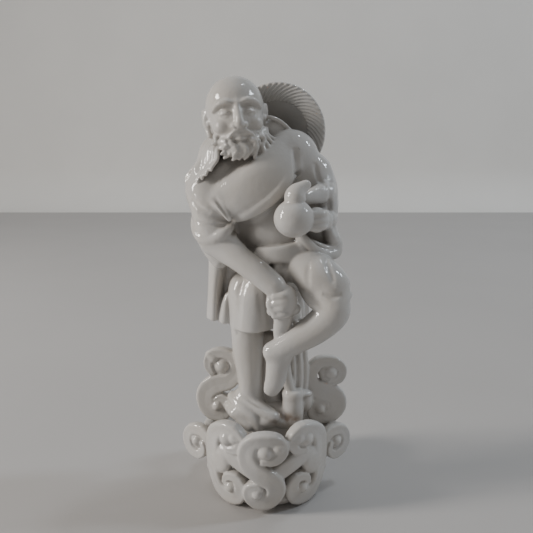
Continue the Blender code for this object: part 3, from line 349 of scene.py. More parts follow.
def on_ring(azimuth, out=0.0, mirror=1, low=1.0):
    """Places a cloud on the ring, wrapped round it: azimuth 0 faces the viewer, 90 the right."""
    plate = PLATE_RADIUS / UNIT

    def place(u, v):
        v = low * v
        flare = RING_FLARE * (1 - exp(-max(v, 0) / FLARE_RISE))
        radius = plate - RING_INSET + flare + RING_LEAN * v + out
        a = radians(azimuth) + mirror * u / (plate + 1)
        return (radius * sin(a), -radius * cos(a), v), (sin(a), -cos(a), -0.12)

    return place


def upright(x, y, yaw, mirror=1):
    """Places a cloud in an upright plane through x and y, which faces the viewer at yaw 0."""
    a = radians(yaw)

    def place(u, v):
        u = mirror * u
        return (x + u * cos(a), y + u * sin(a), v), (sin(a), -cos(a), 0.0)

    return place


def cloud(clay, place, path, bosses=(), deep=3.8, dish=0.34):
    """A rolled ribbon of cloud, with a ball in the eye of each scroll on a lower floor."""
    rows = smooth_path(path, 3)
    found = [place(u, v) for u, v, _ in rows]
    stations = [(*point, 1.06 * w, deep) for (point, _), (_, _, w) in zip(found, rows)]
    clay.limb(stations, up=[out for _, out in found], sides=20, steps=1, square=0.72, dish=dish)
    for u, v, r in bosses:
        (x, y, z), (a, b, _) = place(u, v)
        high, low = deep - 1.05 * r, -0.9
        boss, eye = 1.15 * r, 1.9 * r
        yaw = degrees(atan2(a, -b))
        clay.ball((x + high * a, y + high * b, z), (boss, boss, boss), segments=24)
        clay.ball(
            (x + low * a, y + low * b, z), (eye, deep - 0.5, eye), (0, 0, yaw), segments=24
        )


def cloud_tip(clay, place, at, to, wide, deep, tip=0.9):
    """A pointed lip on the outside of a scroll."""
    (a, out), (b, _) = place(*at), place(*to)
    clay.limb([(*a, wide, deep), (*b, tip, 0.85 * deep)], up=out, sides=16, steps=4)


def clouds(clay):
    front, left, right = on_ring(0, 2.2), upright(-26.5, -1, -8), upright(31.6, -1, 8)
    cloud(clay, front, FRONT_CLOUD, FRONT_BOSSES, 4.0)
    cloud_tip(clay, front, (5.4, 38.6), (8.4, 40.6), 4.2, 3.8, 2.0)
    cloud_tip(clay, left, (-2.0, 73.2), (-4.4, 74.8), 3.2, 3.4, 2.6)
    for side in (-1, 1):
        scroll = on_ring(43 * side, 0.8, side)
        cloud_tip(clay, scroll, (-8.0, 41.4), (-11.2, 41.6), 3.8, 3.6)
        cloud(clay, scroll, SIDE_CLOUD, SIDE_BOSSES)
        cloud(clay, on_ring(43 * side, -0.4, side), SIDE_BAND, (), 3.6, dish=0)
        cloud(clay, on_ring(43 * side, 0.3, side), SIDE_WEDGE, (), 3.5, dish=0)
        cloud(clay, upright(37.4 * side, -5, 36 * side, -side), FAR_CLOUD, FAR_BOSSES, 3.3)
    cloud(clay, left, LEFT_TALL_CLOUD, LEFT_TALL_BOSSES, dish=0.42)
    cloud(clay, right, RIGHT_TALL_CLOUD, RIGHT_TALL_BOSSES, dish=0.46)
    # Plainer clouds round the back, out of the viewer's sight
    for azimuth, mirror, low in (
        (97, 1, 0.72), (138, 1, 0.94), (180, 1, 1.0), (222, -1, 0.94), (263, -1, 0.72),
    ):
        cloud(clay, on_ring(azimuth, 0.4, mirror, low), FRONT_CLOUD, FRONT_BOSSES, 3.6)


def base(clay):
    foot = FOOT_RADIUS / UNIT
    plate = PLATE_RADIUS / UNIT
    recess = FOOT_RECESS_RADIUS / UNIT
    deep = FOOT_RECESS_DEPTH / UNIT
    thick = PLATE_THICKNESS / UNIT
    clay.turned([
        (0.5 * recess, deep), (recess, deep), (recess + 1.2, 0.0), (foot, 0.0),
        (0.5 * (foot + plate) + 0.6, 0.25 * thick), (plate, 0.6 * thick), (plate - 1.5, thick),
        (0.5 * plate, thick),
    ])


def mound(clay):
    clay.drape([
        (0, 0, 2.5 + FOOT_RECESS_DEPTH / UNIT, 22, 20), (0, 0, 16, 19, 18), (0, 0, 30, 18, 17),
        (0, 0, 40, 18, 16), (0, -1, 46.5, 18, 14), (-1, -1, 51, 13, 9),
    ], folds=7, depth=0.06)
    # Rocks at the top of the mound
    clay.ball((-11, -9, 45), (10.5, 8.0, 5.4), (0, 12, 0))
    clay.ball((0, -12.5, 43.6), (9.5, 7.5, 4.8), (0, -4, 0))
    clay.ball((10, -11.5, 42.5), (9, 7.0, 4.4))
    clay.ball((-5, -15.0, 42.0), (5.5, 3.6, 4.4), (0, 30, 0))
    clay.limb([
        (-18, -5.5, 52.6, 3.4, 3.4), (-12.6, -12.8, 49.6, 3.2, 3.2), (-7.2, -16.4, 46.0, 3.0, 3.0),
        (-4.0, -18.0, 40.6, 2.6, 2.6),
    ])
    clay.limb([
        (-20, -5, 46.6, 3.2, 3.2), (-14.6, -13.0, 44.6, 3.0, 3.0), (-9.0, -17.6, 41.0, 2.6, 2.6),
    ])
    clay.ball((-15, 2, 43), (8, 9, 6))
    clay.ball((15, 4, 43), (7, 8, 7))
    clay.ball((0, 12, 44), (13, 7, 6))
    # The stump that the crutch stands on, with its ledge
    clay.turned([
        (5.6, 40), (6.0, 47), (5.5, 54), (6.0, 57.2), (5.4, 59.2), (3.0, 59.6),
    ], (14.0, -10.5, 0), sides=40)
    clay.ball((19.5, -6.5, 55.8), (5.6, 4, 2.0), (0, 8, 0))
    clay.ball((21.0, -3.5, 50.0), (4.6, 5, 7.0))


def trunk(clay):
    """The ribbed trunk that rises from the stump, behind the crossed foot."""
    for x, y, r in ((11.0, -8.8, 1.7), (14.2, -9.0, 1.6), (17.6, -7.8, 1.8), (20.6, -5.2, 2.0)):
        clay.limb([
            (x - 0.4, y, 54, r, r), (x + 0.3, y + 0.2, 66, r, r), (x - 0.6, y + 1.5, 80, r, r),
            (x - 2.0, y + 3, 94, r, r),
        ])
    clay.limb([(15, -2, 52, 6.8, 6.2), (14.5, -1, 75, 6.8, 6.6), (12, 3, 98, 7, 7)])
    clay.limb([(3, -3, 50, 7.0, 5.0), (2, -3, 66, 5.0, 4.5), (1, -1, 84, 5.0, 5.0)])


def legs(clay):
    # The standing leg and its foot
    clay.limb([
        (-10, -2, 112, 10.5, 10.5), (-10, -5, 92, 9.0, 9.2), (-9.6, -6, 78, 8.4, 8.6),
        (-8.6, -7, 66, 7.0, 7.4), (-8.4, -7, 57, 6.6, 7.0),
    ])
    clay.ball((-9.4, -5.6, 52.0), (9.4, 8.0, 6.4), (0, 10, 0))
    clay.limb([
        (-11.4, -8.4, 54.6, 4.6, 4.2), (-5.6, -12.4, 51.2, 4.6, 4.0), (0.6, -15.4, 48.2, 4.6, 3.6),
        (4.6, -16.8, 46.4, 4.2, 3.2),
    ], up=(0, 0, 1))
    # The bare shin, crossed in front, and its foot pointing down
    clay.limb([
        (32.6, -20.5, 112, 8.2, 8.2), (32.8, -22, 105.4, 8.8, 8.6), (25.2, -22.5, 97.6, 8.1, 8.0),
        (14, -22.8, 90.6, 7.0, 7.0), (5.5, -22.5, 85.4, 5.9, 6.2),
    ])
    clay.ball((3.2, -22.3, 84.8), (5.6, 5.6, 5.4))
    clay.limb([
        (6.8, -21.8, 84.4, 7.4, 5.9), (5.6, -22.0, 77, 6.2, 5.2), (4.4, -22.6, 69.5, 5.5, 4.3),
        (2.0, -22.8, 63.4, 4.4, 2.8),
    ])


def thigh(clay):
    """The raised thigh in its rolled trouser leg, down to the knee."""
    clay.limb([
        (4, -1, 129, 9, 10.0), (15, -7, 128.8, 10.4, 9.6), (25, -14, 122.6, 12.0, 11.0),
        (30.4, -17, 119.4, 10.8, 10.4),
    ], up=(0, 0, 1))
    clay.ball((32.4, -17.6, 118.2), (9.6, 9.8, 9.2), (0, 20, 0), segments=64)
    clay.ball((31.6, -19.0, 114.6), (10.0, 9.4, 8.4), (0, 10, 0), segments=64)
    clay.ball((28.6, -18.4, 114.0), (7.6, 8.4, 6.8), (0, 30, 0), segments=64)


HEM = [
    (15.6, -12.0, 120.4, 1.8, 2.2), (18.2, -17.6, 115.6, 2.2, 2.4), (21.6, -22.4, 111.0, 2.4, 2.4),
    (26.6, -25.4, 108.0, 2.4, 2.4), (32.0, -27.2, 108.6, 2.3, 2.3), (37.4, -25.4, 111.4, 2.2, 2.2),
    (40.8, -20.4, 113.8, 2.0, 2.0),
]


def trousers(clay):
    # The gathered hem below the knee
    clay.limb(HEM)
    # Folds gathered at the hip
    for x, z, r in ((5.0, 127.0, 2.2), (8.6, 125.6, 2.0), (11.6, 126.2, 1.9)):
        clay.limb([
            (x + 2.4, -12.0, z + 2.2, r, r), (x, -15.0, z - 1.0, r, r),
            (x + 1, -14.6, z - 6.4, 0.8 * r, 0.8 * r),
        ])


def masses(clay):
    """The soft masses of the body under its robe."""
    # Belly, hips and waist
    clay.ball((4, -1, 126), (15.5, 13, 13))
    clay.ball((4, -1.0, 142.5), (16.5, 13.2, 14.5), (0, -8, 0))
    clay.ball((-2, 5, 150), (23, 13, 26), (0, 10, 0))
    # Chest and back, leaning towards the crutch
    clay.ball((-8, -2.8, 165.5), (24, 15.8, 14.5), (0, -24, 0))
    clay.ball((-12, -3, 159), (15, 15.6, 9.5), (0, 26, 0))
    clay.ball((-2, 7, 170), (27, 13, 18), (0, -22, 0))
    # The robe's flap across the chest
    clay.limb([
        (12, -2, 185, 9, 5), (6.4, -9.4, 177, 10.5, 5), (-1.4, -13.4, 169.5, 11.0, 5),
        (-10.4, -13.8, 162.4, 10.2, 5), (-19.6, -11.4, 157.4, 7.6, 5),
    ], up=(0.1, -1, 0.15), square=0.85)
    # Shoulders, and the neck
    clay.ball((12.2, 3.5, 180.8), (14.4, 12.8, 13.6))
    clay.ball((20.5, 4.5, 169), (12, 11, 15), (0, -14, 0))
    clay.ball((-28, 1, 164), (14, 12, 12), (0, -30, 0))
    clay.limb([(-31.5, 3, 158, 6.5, 9), (-30.2, 4.5, 148, 6.0, 8.5), (-27.0, 5.5, 137, 4.8, 7.0)])
    clay.ball((-19.5, 6.0, 180), (7.0, 5.0, 9.0), (0, -20, 0))
    clay.ball((-20.5, -3.5, 173.5), (8.0, 6.0, 7.0), (0, -25, 0))
    clay.limb([(-8, 4, 178, 12, 12), (-12.5, 0, 190, 9.5, 9.5)])
    # The sleeved upper arms
    clay.limb([
        (-29.5, 0, 164, 12.6, 12), (-28.2, -3.5, 154, 10.4, 11.5), (-26.6, -6.5, 145, 9.8, 9.8),
    ])
    clay.ball((-22, -5, 160), (9, 11, 10), (0, 20, 0))
    clay.limb([(23.4, 5, 172, 11, 11), (28.0, 3, 163, 9.2, 10.5), (29.4, 1, 152, 7.6, 10.0)])


def skirts(clay):
    # The tunic over the standing thigh
    clay.drape([
        (0.0, 0, 134, 12.6, 12), (1.0, -1, 125, 12.2, 13.0), (-3.0, -1.6, 116, 12.8, 14.0),
        (-6.0, -2, 108, 13.0, 14.5), (-6.8, -2.5, 94.0, 12.8, 15.5), (-6.8, -2.5, 92.8, 12.2, 14.8),
    ], folds=4, depth=0.022, phase=0.9)
    # The robe's skirt, which hangs down behind
    clay.drape([
        (-1.4, 4, 137, 19.5, 12.6), (-3, 7, 124, 23.4, 10.4), (-3.6, 9.5, 110, 25.6, 9.4),
        (-3.8, 10.5, 93, 27, 9.5), (-3.8, 10.5, 91.5, 26, 8.8),
    ], folds=13, depth=0.055, phase=1.1)
    # Its front edge at the left, which hangs from the sleeve in flat folds
    clay.drape([
        (-25.0, 1, 138, 5.8, 7), (-25.4, 2.0, 126, 5.2, 6.6), (-27.2, 3.0, 112, 4.0, 6.2),
        (-28.2, 4.0, 95.6, 4.2, 6.6), (-28.2, 4.0, 94.4, 3.8, 6.2),
    ], folds=4, depth=0.10, phase=0.6, sides=48)
    clay.drape([
        (-20.8, -1.5, 110, 1.0, 4.0), (-21.2, -2.0, 104, 2.8, 5.0), (-21.4, -1.5, 95.4, 4.4, 5.8),
        (-21.4, -1.5, 94.2, 3.9, 5.2),
    ], folds=3, depth=0.12, sides=32)
    # The sash tied behind, and its ends
    clay.limb([
        (-19, 9, 137, 2.6, 2.6), (-8, 17, 137, 3.0, 2.2), (6, 17.5, 137.5, 3.0, 2.2),
        (18, 10, 138, 2.6, 2.6),
    ])
    clay.ball((3, 19.4, 136.6), (4.2, 2.6, 3.4))
    clay.limb([
        (1.6, 19.6, 134, 2.0, 1.4), (0.2, 19.6, 124, 2.8, 1.5), (0.6, 19.9, 113, 3.2, 1.5),
    ], square=0.7)
    clay.limb([
        (4.6, 19.4, 134, 2.0, 1.4), (6.4, 19.6, 124, 2.6, 1.5), (6.8, 19.9, 117, 3.0, 1.5),
    ], square=0.7)


def robe(clay):
    """The robe's crossed front: the flap's turned lower edge, the collar and the belt."""
    clay.limb([
        (12.8, -4.0, 185.0, 3.0, 1.9), (12.6, -9.6, 177.4, 3.2, 1.9), (9.8, -14.2, 169.2, 3.2, 1.9),
        (4.0, -16.6, 161.9, 3.0, 1.9), (-3.8, -16.8, 156.0, 2.8, 1.9),
        (-10.4, -15.2, 152.4, 2.6, 1.9), (-16.0, -12.0, 150.6, 2.4, 1.9),
    ], up=(0.25, -1, -0.25), square=0.8)
    # The collar at the back of the neck
    clay.ball((4.0, 6, 192.6), (8, 5, 6.6), (0, 34, 0))
    # The belt and its hanging end
    clay.limb([
        (-4.0, -12.6, 132.8, 4.0, 2.4), (3.0, -15.2, 132.8, 4.4, 2.6),
        (10.0, -15.4, 133.6, 4.5, 2.6), (16.8, -13.4, 135.4, 4.3, 2.6),
    ], square=0.45)
    clay.limb([
        (15.6, -14.4, 142.8, 1.7, 1.7), (17.2, -14.4, 137.6, 2.6, 2.2),
        (17.6, -13.4, 131.0, 2.1, 2.0),
    ])


def collar(clay):
    """The robe's upright edge behind the neck."""
    clay.limb([
        (-4.0, 5.5, 199.6, 0.9, 1.2), (1.2, 2.2, 199.9, 0.9, 1.2), (5.8, 1.6, 198.4, 0.9, 1.2),
        (9.4, 2.0, 196.0, 0.8, 1.1), (12.4, 3.4, 193.6, 0.6, 0.8),
    ], up=(0.3, -0.4, 1))


def right_sleeve(clay):
    """The wide sleeve of the arm at the viewer's left, with its turned cuffs."""
    clay.limb([
        (-36.2, 2.0, 152.5, 2.0, 2.0), (-36.2, -5.0, 146.8, 2.6, 2.2),
        (-33.2, -10.4, 141.6, 3.1, 2.5), (-27.6, -13.8, 140.2, 3.2, 2.6),
        (-21.0, -15.8, 143.6, 2.9, 2.5), (-18.0, -12.6, 146.8, 2.3, 2.0),
        (-18.4, -6.0, 148.0, 2.0, 1.8),
    ])
    clay.limb([
        (-33.0, 1.0, 143.0, 2.2, 2.4), (-31.8, -6.0, 137.6, 2.7, 2.4),
        (-27.6, -11.2, 134.8, 3.0, 2.6), (-20.8, -15.0, 137.8, 2.8, 2.4),
        (-16.6, -12.8, 140.8, 2.1, 1.9), (-16.6, -6.0, 141.8, 1.8, 1.7),
    ])
    # The cuff's underside, which hangs down to the skirt
    clay.limb([
        (-30.0, 1.0, 140, 7.0, 8.0), (-26.6, -3.0, 133, 6.0, 7.0), (-24.0, -5.0, 128, 4.5, 5.5),
    ])
    # The forearm, with the edge of the inner sleeve
    clay.limb([
        (-26, -7, 140.5, 9.4, 8.8), (-20, -10.6, 135.6, 8.0, 7.4), (-13.4, -15, 131.0, 6.6, 6.4),
        (-4.0, -19.4, 124.8, 6.3, 6.1), (4.2, -22.4, 118.4, 5.9, 5.6),
    ])
    clay.limb([
        (-20.0, -7.0, 126.8, 1.4, 1.4), (-17.2, -14.0, 129.8, 1.6, 1.5),
        (-12.8, -18.2, 134.4, 1.5, 1.4), (-11.2, -15.0, 136.0, 1.3, 1.2),
        (-12.2, -9.0, 137.4, 1.2, 1.1),
    ])
    # A fold in the sleeve, from the armpit
    clay.limb([
        (-28.4, -12.6, 160.0, 1.2, 1.4), (-22.6, -15.6, 156.4, 1.8, 1.8),
        (-18.2, -16.4, 151.0, 1.6, 1.6),
    ])


def right_hand(clay):
    """The fist round the crutch's head: four fingers one over the other, and the thumb."""
    clay.ball((8.2, -23.4, 112.4), (6.4, 5.4, 7.6), (0, 24, 0), segments=64)
    for height, reach in ((115.6, 14.0), (112.2, 14.8), (108.9, 14.6), (105.9, 13.6)):
        clay.limb([
            (reach - 1.6, -19.6, height, 2.1, 1.9), (reach - 1.8, -23.8, height, 2.2, 2.1),
            (8.6, -26.9, height - 0.4, 2.2, 2.0), (4.0, -26.4, height - 1.2, 1.9, 1.8),
        ], up=(0, 0, 1), sides=16)
    clay.ball((8.8, -24.4, 111.0), (6.4, 4.7, 7.2))
    clay.limb([
        (2.4, -23.6, 114.0, 2.3, 2.2), (1.8, -25.4, 109.6, 2.1, 2.0), (4.0, -26.8, 105.8, 1.7, 1.7),
    ], sides=16)


def crutch(clay):
    r = CRUTCH_RADIUS / UNIT
    clay.limb([
        (3.0, -23.4, 106.4, r, r), (8.6, -23.8, 106.4, 1.2 * r, r), (14.0, -22.6, 107.2, r, r),
    ], up=(0, 0, 1))
    clay.limb([
        (8.8, -23.0, 108, 1.9 * r, 1.2 * r), (8.2, -22.6, 101, 1.6 * r, 1.1 * r),
        (7.2, -21.0, 92, 1.2 * r, r), (10.5, -13, 68, r, r), (14, -10, 54, r, r),
    ])


def left_arm(clay):
    """The arm at the viewer's right, whose sleeve hangs wide and whose hand holds the gourd."""
    clay.limb([
        (29.4, 3, 165, 6.2, 7), (28.6, -7, 163.4, 5.6, 5.4), (23.0, -14.0, 162.0, 4.2, 4.0),
        (18.2, -18.6, 161.0, 3.0, 3.0),
    ])
    clay.limb([(31, -1, 150, 6.4, 6.0), (28, -10, 150, 5.8, 5.6), (23.6, -17, 151.0, 5.4, 5.4)])
    clay.ball((24.2, -20.4, 151.0), (6.2, 5.8, 6.2))
    # Fingers round the gourd
    for height in (154.4, 151.4, 148.4):
        clay.limb([
            (28.4, -19.6, height, 1.9, 1.8), (26.4, -24.6, height, 1.9, 1.9),
            (20.4, -26.2, height - 0.3, 1.8, 1.8),
        ], up=(0, 0, 1), sides=16)
    # The sleeve falling outside the forearm, and its hem
    clay.limb([
        (29.8, 3, 167, 6.2, 10), (32.4, 2, 157, 4.9, 10), (32.0, 1, 146, 4.2, 9),
        (34.4, -1.5, 138, 4.3, 7.5),
    ])
    clay.ball((26, 4, 142), (10, 7, 12))
    clay.limb([
        (15.0, -16.0, 145.6, 1.6, 1.2), (18.6, -16.4, 141.0, 2.3, 1.4),
        (24.2, -14.0, 135.2, 2.5, 1.5), (30.6, -10.0, 131.8, 2.6, 1.7),
        (36.0, -6.0, 132.2, 2.6, 1.9), (37.4, -1.5, 137.0, 2.3, 2.2),
    ])
    clay.limb([
        (20, -10, 138.5, 4.0, 2.2), (28, -6, 134.5, 5.0, 2.4), (33.6, -2, 134.5, 5.0, 2.6),
    ], up=(0, 0.4, 1))


def gourd(clay):
    r = GOURD_RADIUS / UNIT
    clay.ball((13.0, -24.6, 152.2), (1.05 * r, r, r))
    clay.limb([
        (13.4, -24.6, 158, 0.46 * r, 0.46 * r), (13.6, -24.4, 162.2, 0.58 * r, 0.58 * r),
        (14.8, -23.9, 164.8, 0.50 * r, 0.50 * r), (17.0, -23.2, 166.8, 0.34 * r, 0.34 * r),
        (18.6, -22.6, 167.8, 0.28 * r, 0.28 * r),
    ])


def hat(clay):
    r = HAT_RADIUS / UNIT
    wall = HAT_WALL / UNIT
    clay.turned([
        (0.05 * r, 0.84 * r), (0.15 * r, 0.78 * r), (0.27 * r, 0.58 * r), (0.50 * r, 0.36 * r),
        (0.76 * r, 0.15 * r), (0.96 * r, 0.01 * r), (r, -0.05 * r),
        (0.985 * r, -0.05 * r - 0.6 * wall), (0.90 * r, 0.01 * r - 0.9 * wall),
        (0.74 * r, 0.13 * r - wall), (0.50 * r, 0.33 * r - wall), (0.27 * r, 0.52 * r - wall),
        (0.05 * r, 0.66 * r - wall),
    ])


# The head, in its own place


def skull(clay):
    clay.ball((0, 2.0, 3.0), (14.6, 15.4, 15.0), segments=64)
    clay.ball((0, -1.0, -4.5), (13.2, 13.4, 13.0), segments=64)
    clay.ball((0, -2.5, -12.0), (11.4, 11.0, 9.0))
    clay.ball((0, 8.0, -9.0), (11.0, 7.5, 11.0))


def features(clay):
    """The face's softer forms: brow, nose and cheeks."""
    clay.limb([
        (0, -12.6, 3.0, 2.0, 2.0), (0, -14.4, -1.4, 1.7, 2.0), (0, -16.0, -5.2, 2.0, 2.2),
        (0, -16.6, -7.4, 2.5, 2.2),
    ], steps=4)
    for side in (-1, 1):
        clay.limb([
            (1.6 * side, -13.0, 2.6, 1.2, 1.6), (5.4 * side, -12.9, 3.6, 1.5, 1.8),
            (9.2 * side, -10.8, 2.8, 1.4, 1.6), (11.6 * side, -7.6, 0.6, 1.0, 1.2),
        ], steps=4)
        clay.ball((7.0 * side, -8.0, -6.6), (5.2, 4.9, 4.2), (0, 14 * side, 0))
    clay.ball((0, -11.4, -12.4), (5.4, 3.2, 3.6))
    clay.ball((0, -10.6, -18.0), (5.0, 4.0, 3.6))


def face(clay):
    for side in (-1, 1):
        # Wing of the nose
        clay.ball((2.5 * side, -14.7, -7.8), (1.8, 2.0, 1.5), segments=24)
        # Eyeball and lids
        clay.ball((5.5 * side, -10.8, -1.1), (3.1, 2.8, 2.2), segments=32)
        clay.limb([
            (2.7 * side, -12.7, -1.7, 0.45, 0.6), (5.4 * side, -13.6, -1.3, 0.7, 0.8),
            (8.5 * side, -11.9, -1.9, 0.5, 0.6),
        ], sides=12)
        clay.limb([
            (2.9 * side, -12.4, -2.5, 0.4, 0.5), (5.5 * side, -13.0, -3.2, 0.6, 0.7),
            (8.3 * side, -11.7, -2.6, 0.4, 0.5),
        ], sides=12)
        ear(clay, side)
    # Lips
    clay.limb([
        (-4.2, -13.0, -12.4, 0.5, 0.7), (-1.6, -14.6, -11.8, 0.85, 1.0),
        (0, -14.6, -12.1, 0.8, 1.0), (1.6, -14.6, -11.8, 0.85, 1.0), (4.2, -13.0, -12.4, 0.5, 0.7),
    ], sides=12)
    clay.limb([
        (-3.4, -13.0, -13.5, 0.6, 0.8), (0, -14.4, -14.0, 1.1, 1.1), (3.4, -13.0, -13.5, 0.6, 0.8),
    ], sides=12)


def ear(clay, side):
    """A long-lobed ear, with a rolled rim round its bowl."""
    clay.limb([
        (13.4 * side, 0.4, -0.6, 0.9, 1.1), (14.6 * side, 1.2, 2.0, 1.0, 1.2),
        (15.5 * side, 3.6, 2.6, 1.0, 1.2), (15.8 * side, 5.4, 0.0, 1.0, 1.2),
        (15.2 * side, 4.6, -4.0, 1.0, 1.1), (14.6 * side, 2.6, -7.4, 1.3, 1.4),
        (14.0 * side, 1.4, -9.6, 1.4, 1.4),
    ], up=(side, 0, 0), sides=14)
    clay.ball((13.4 * side, 3.0, -2.2), (1.6, 2.8, 4.8), segments=24)
    clay.ball((13.9 * side, 0.6, -3.6), (1.1, 1.2, 1.7), segments=16)


def lock(clay, start, end, bow, thick, waves=0.0, count=7, thin=0.45):
    """A tapered lock of hair from start to end, bowed sideways and waved."""
    a, b, away = Vector(start), Vector(end), Vector(bow)
    run = b - a
    sideways = run.cross(Vector((0, -1, 0)))
    if sideways.length < 1e-6:
        sideways = Vector((1, 0, 0))
    sideways.normalize()
    stations = []
    for k in range(count):
        t = k / (count - 1)
        point = a + run * t + away * sin(pi * t) + sideways * (waves * sin(tau * 1.25 * t))
        size = thick * (1 - (1 - thin) * t)
        stations.append((*point, size, size))
    clay.limb(stations, sides=12, steps=3)


# Locks of the moustache, from under the nose down past the corners of the mouth: each one's start,
# end and bow, its thickness and its waves
MOUSTACHE = [
    ((0.8, -15.0, -10.0), (6.6, -12.8, -13.4), (0, -0.9, 0.7), 1.15, 0.0),
    ((1.8, -14.6, -10.4), (8.2, -11.6, -14.8), (0, -0.8, 0.4), 1.1, 0.3),
    ((5.2, -13.0, -12.6), (9.0, -10.4, -17.6), (0.6, -0.6, 0), 1.1, 0.0),
]
# Rows of the beard's curls: their height, their drop and how far their tips stand out
BEARD_ROWS = [(-14.4, 3.8, 0.0), (-16.8, 4.0, 0.4), (-19.0, 3.6, 0.2)]


def beard(clay):
    for side in (-1, 1):
        for *bends, thick, waves in MOUSTACHE:
            lock(clay, *[(side * x, y, z) for x, y, z in bends], thick, waves)
    # Short curls along the jaw, which leave the mouth free
    for row, (top, drop, out) in enumerate(BEARD_ROWS):
        count = 18 - row
        wide, deep = 11.0 - 0.8 * row, 11.6 - 1.2 * row
        for k in range(count):
            a = radians(-86 + 172 * k / (count - 1))
            if row == 0 and abs(sin(a)) < 0.30:
                continue
            chin = cos(a)
            root = (
                wide * sin(a),
                -2.6 - deep * chin,
                top + 5.0 * (1 - chin) ** 1.5 + 0.5 * ((k * 7) % 3 - 1),
            )
            swing = 1.6 * sin(2.4 * k + row)
            tip = (
                root[0] + swing + 1.2 * sin(a),
                root[1] - 0.6 * chin - out,
                root[2] - drop * (0.75 + 0.45 * chin),
            )
            lock(clay, root, tip, (0.3 * swing, -chin, 0), 1.25, 0.8, thin=0.65)
    clay.ball((0, -9.5, -18.5), (8.6, 5.6, 4.6), segments=24)


def fringe(clay):
    """Hair round the back of the bald crown."""
    for k in range(15):
        a = radians(-96 + 192 * k / 14)
        root = (14.4 * sin(a), 3.4 + 13.0 * cos(a), 0.5 - cos(a))
        tip = (13.0 * sin(a) + sin(3 * k), 5.0 + 10.5 * cos(a), -19.0 + 2.5 * cos(5 * k))
        lock(clay, root, tip, (0.2 * sin(a), 0.8 * cos(a), 0), 2.0, 0.9, thin=0.6)


def strands(clay):
    """Long wavy strands that spread over the viewer's left shoulder, and curls at the right."""
    clay.limb([
        (-25.0, 1.0, 189, 3.2, 4.4), (-29.6, -0.5, 180, 4.2, 5.0), (-33.2, -3.0, 172.6, 4.8, 4.0),
    ])
    for start, end, waves, thick in (
        ((-27.6, 2.4, 190), (-40.2, 0.0, 169.0), 1.0, 1.35),
        ((-27.4, 1.0, 189.5), (-39.6, -2.2, 167.4), 1.3, 1.35),
        ((-26.8, -0.6, 189), (-38.2, -4.2, 166.8), 1.0, 1.35),
        ((-26.2, -2.0, 188.5), (-36.4, -6.4, 166.6), 1.3, 1.4),
        ((-25.6, -3.4, 188), (-34.6, -8.4, 167.0), 1.1, 1.4),
        ((-24.8, -4.8, 187.6), (-32.6, -10.2, 168.2), 1.4, 1.4),
        ((-23.8, -6.2, 187.2), (-30.6, -11.6, 169.6), 1.1, 1.35),
        ((-22.6, -7.6, 186.8), (-28.4, -12.8, 171.6), 1.2, 1.35),
        ((-21.2, -8.8, 186.2), (-26.0, -13.8, 174.0), 0.9, 1.3),
    ):
        lock(clay, start, end, (-0.6, -1.4, 1.0), thick, waves, count=13, thin=0.6)
    # Shorter curls at the other side, behind the jaw
    for start, end, waves in (
        ((-1.5, -3.0, 194), (3.4, -8.0, 181.0), 0.9),
        ((-0.5, 0.0, 194), (5.6, -5.6, 183.0), 1.0),
        ((-2.6, -5.5, 193), (0.8, -10.6, 179.5), 0.9),
        ((-4.0, -7.5, 191), (-2.0, -12.2, 178.5), 0.8),
    ):
        lock(clay, start, end, (0.8, -1.0, 0), 1.6, waves, count=9, thin=0.5)


def in_scene(name, data):
    thing = bpy.data.objects.new(name, data)
    bpy.context.scene.collection.objects.link(thing)
    return thing


def as_modified(thing):
    """The mesh that an object's modifiers make of it. The object itself is removed."""
    graph = bpy.context.evaluated_depsgraph_get()
    made = bpy.data.meshes.new_from_object(thing.evaluated_get(graph))
    bpy.data.objects.remove(thing)
    return made


def fuse(clay, grid, rounds):
    """The clay as one mesh: fused on a grid, then softened as glaze rounds an edge."""
    mesh = bpy.data.meshes.new("clay")
    mesh.from_pydata([p * UNIT for p in clay.points], [], clay.faces)
    lump = in_scene("clay", mesh)
    remesh = lump.modifiers.new("Fuse", "REMESH")
    remesh.mode = "VOXEL"
    remesh.voxel_size = grid
    smooth = lump.modifiers.new("Soften", "SMOOTH")
    smooth.factor = 0.5
    smooth.iterations = rounds
    fused = as_modified(lump)
    fill_bubbles(fused)
    return fused


def fill_bubbles(mesh):
    """Keeps the one outer skin, and fills the tiny bubbles left between forms that touch."""
    shape = bmesh.new()
    shape.from_mesh(mesh)
    seen = set()
    skins = []
    for first in shape.verts:
        if first in seen:
            continue
        seen.add(first)
        skin = [first]
        for vert in skin:
            for edge in vert.link_edges:
                other = edge.other_vert(vert)
                if other not in seen:
                    seen.add(other)
                    skin.append(other)
        skins.append(skin)
    skins.sort(key=len)
    bubbles = [vert for skin in skins[:-1] for vert in skin]
    bmesh.ops.delete(shape, geom=bubbles, context="VERTS")
    shape.to_mesh(mesh)
    shape.free()


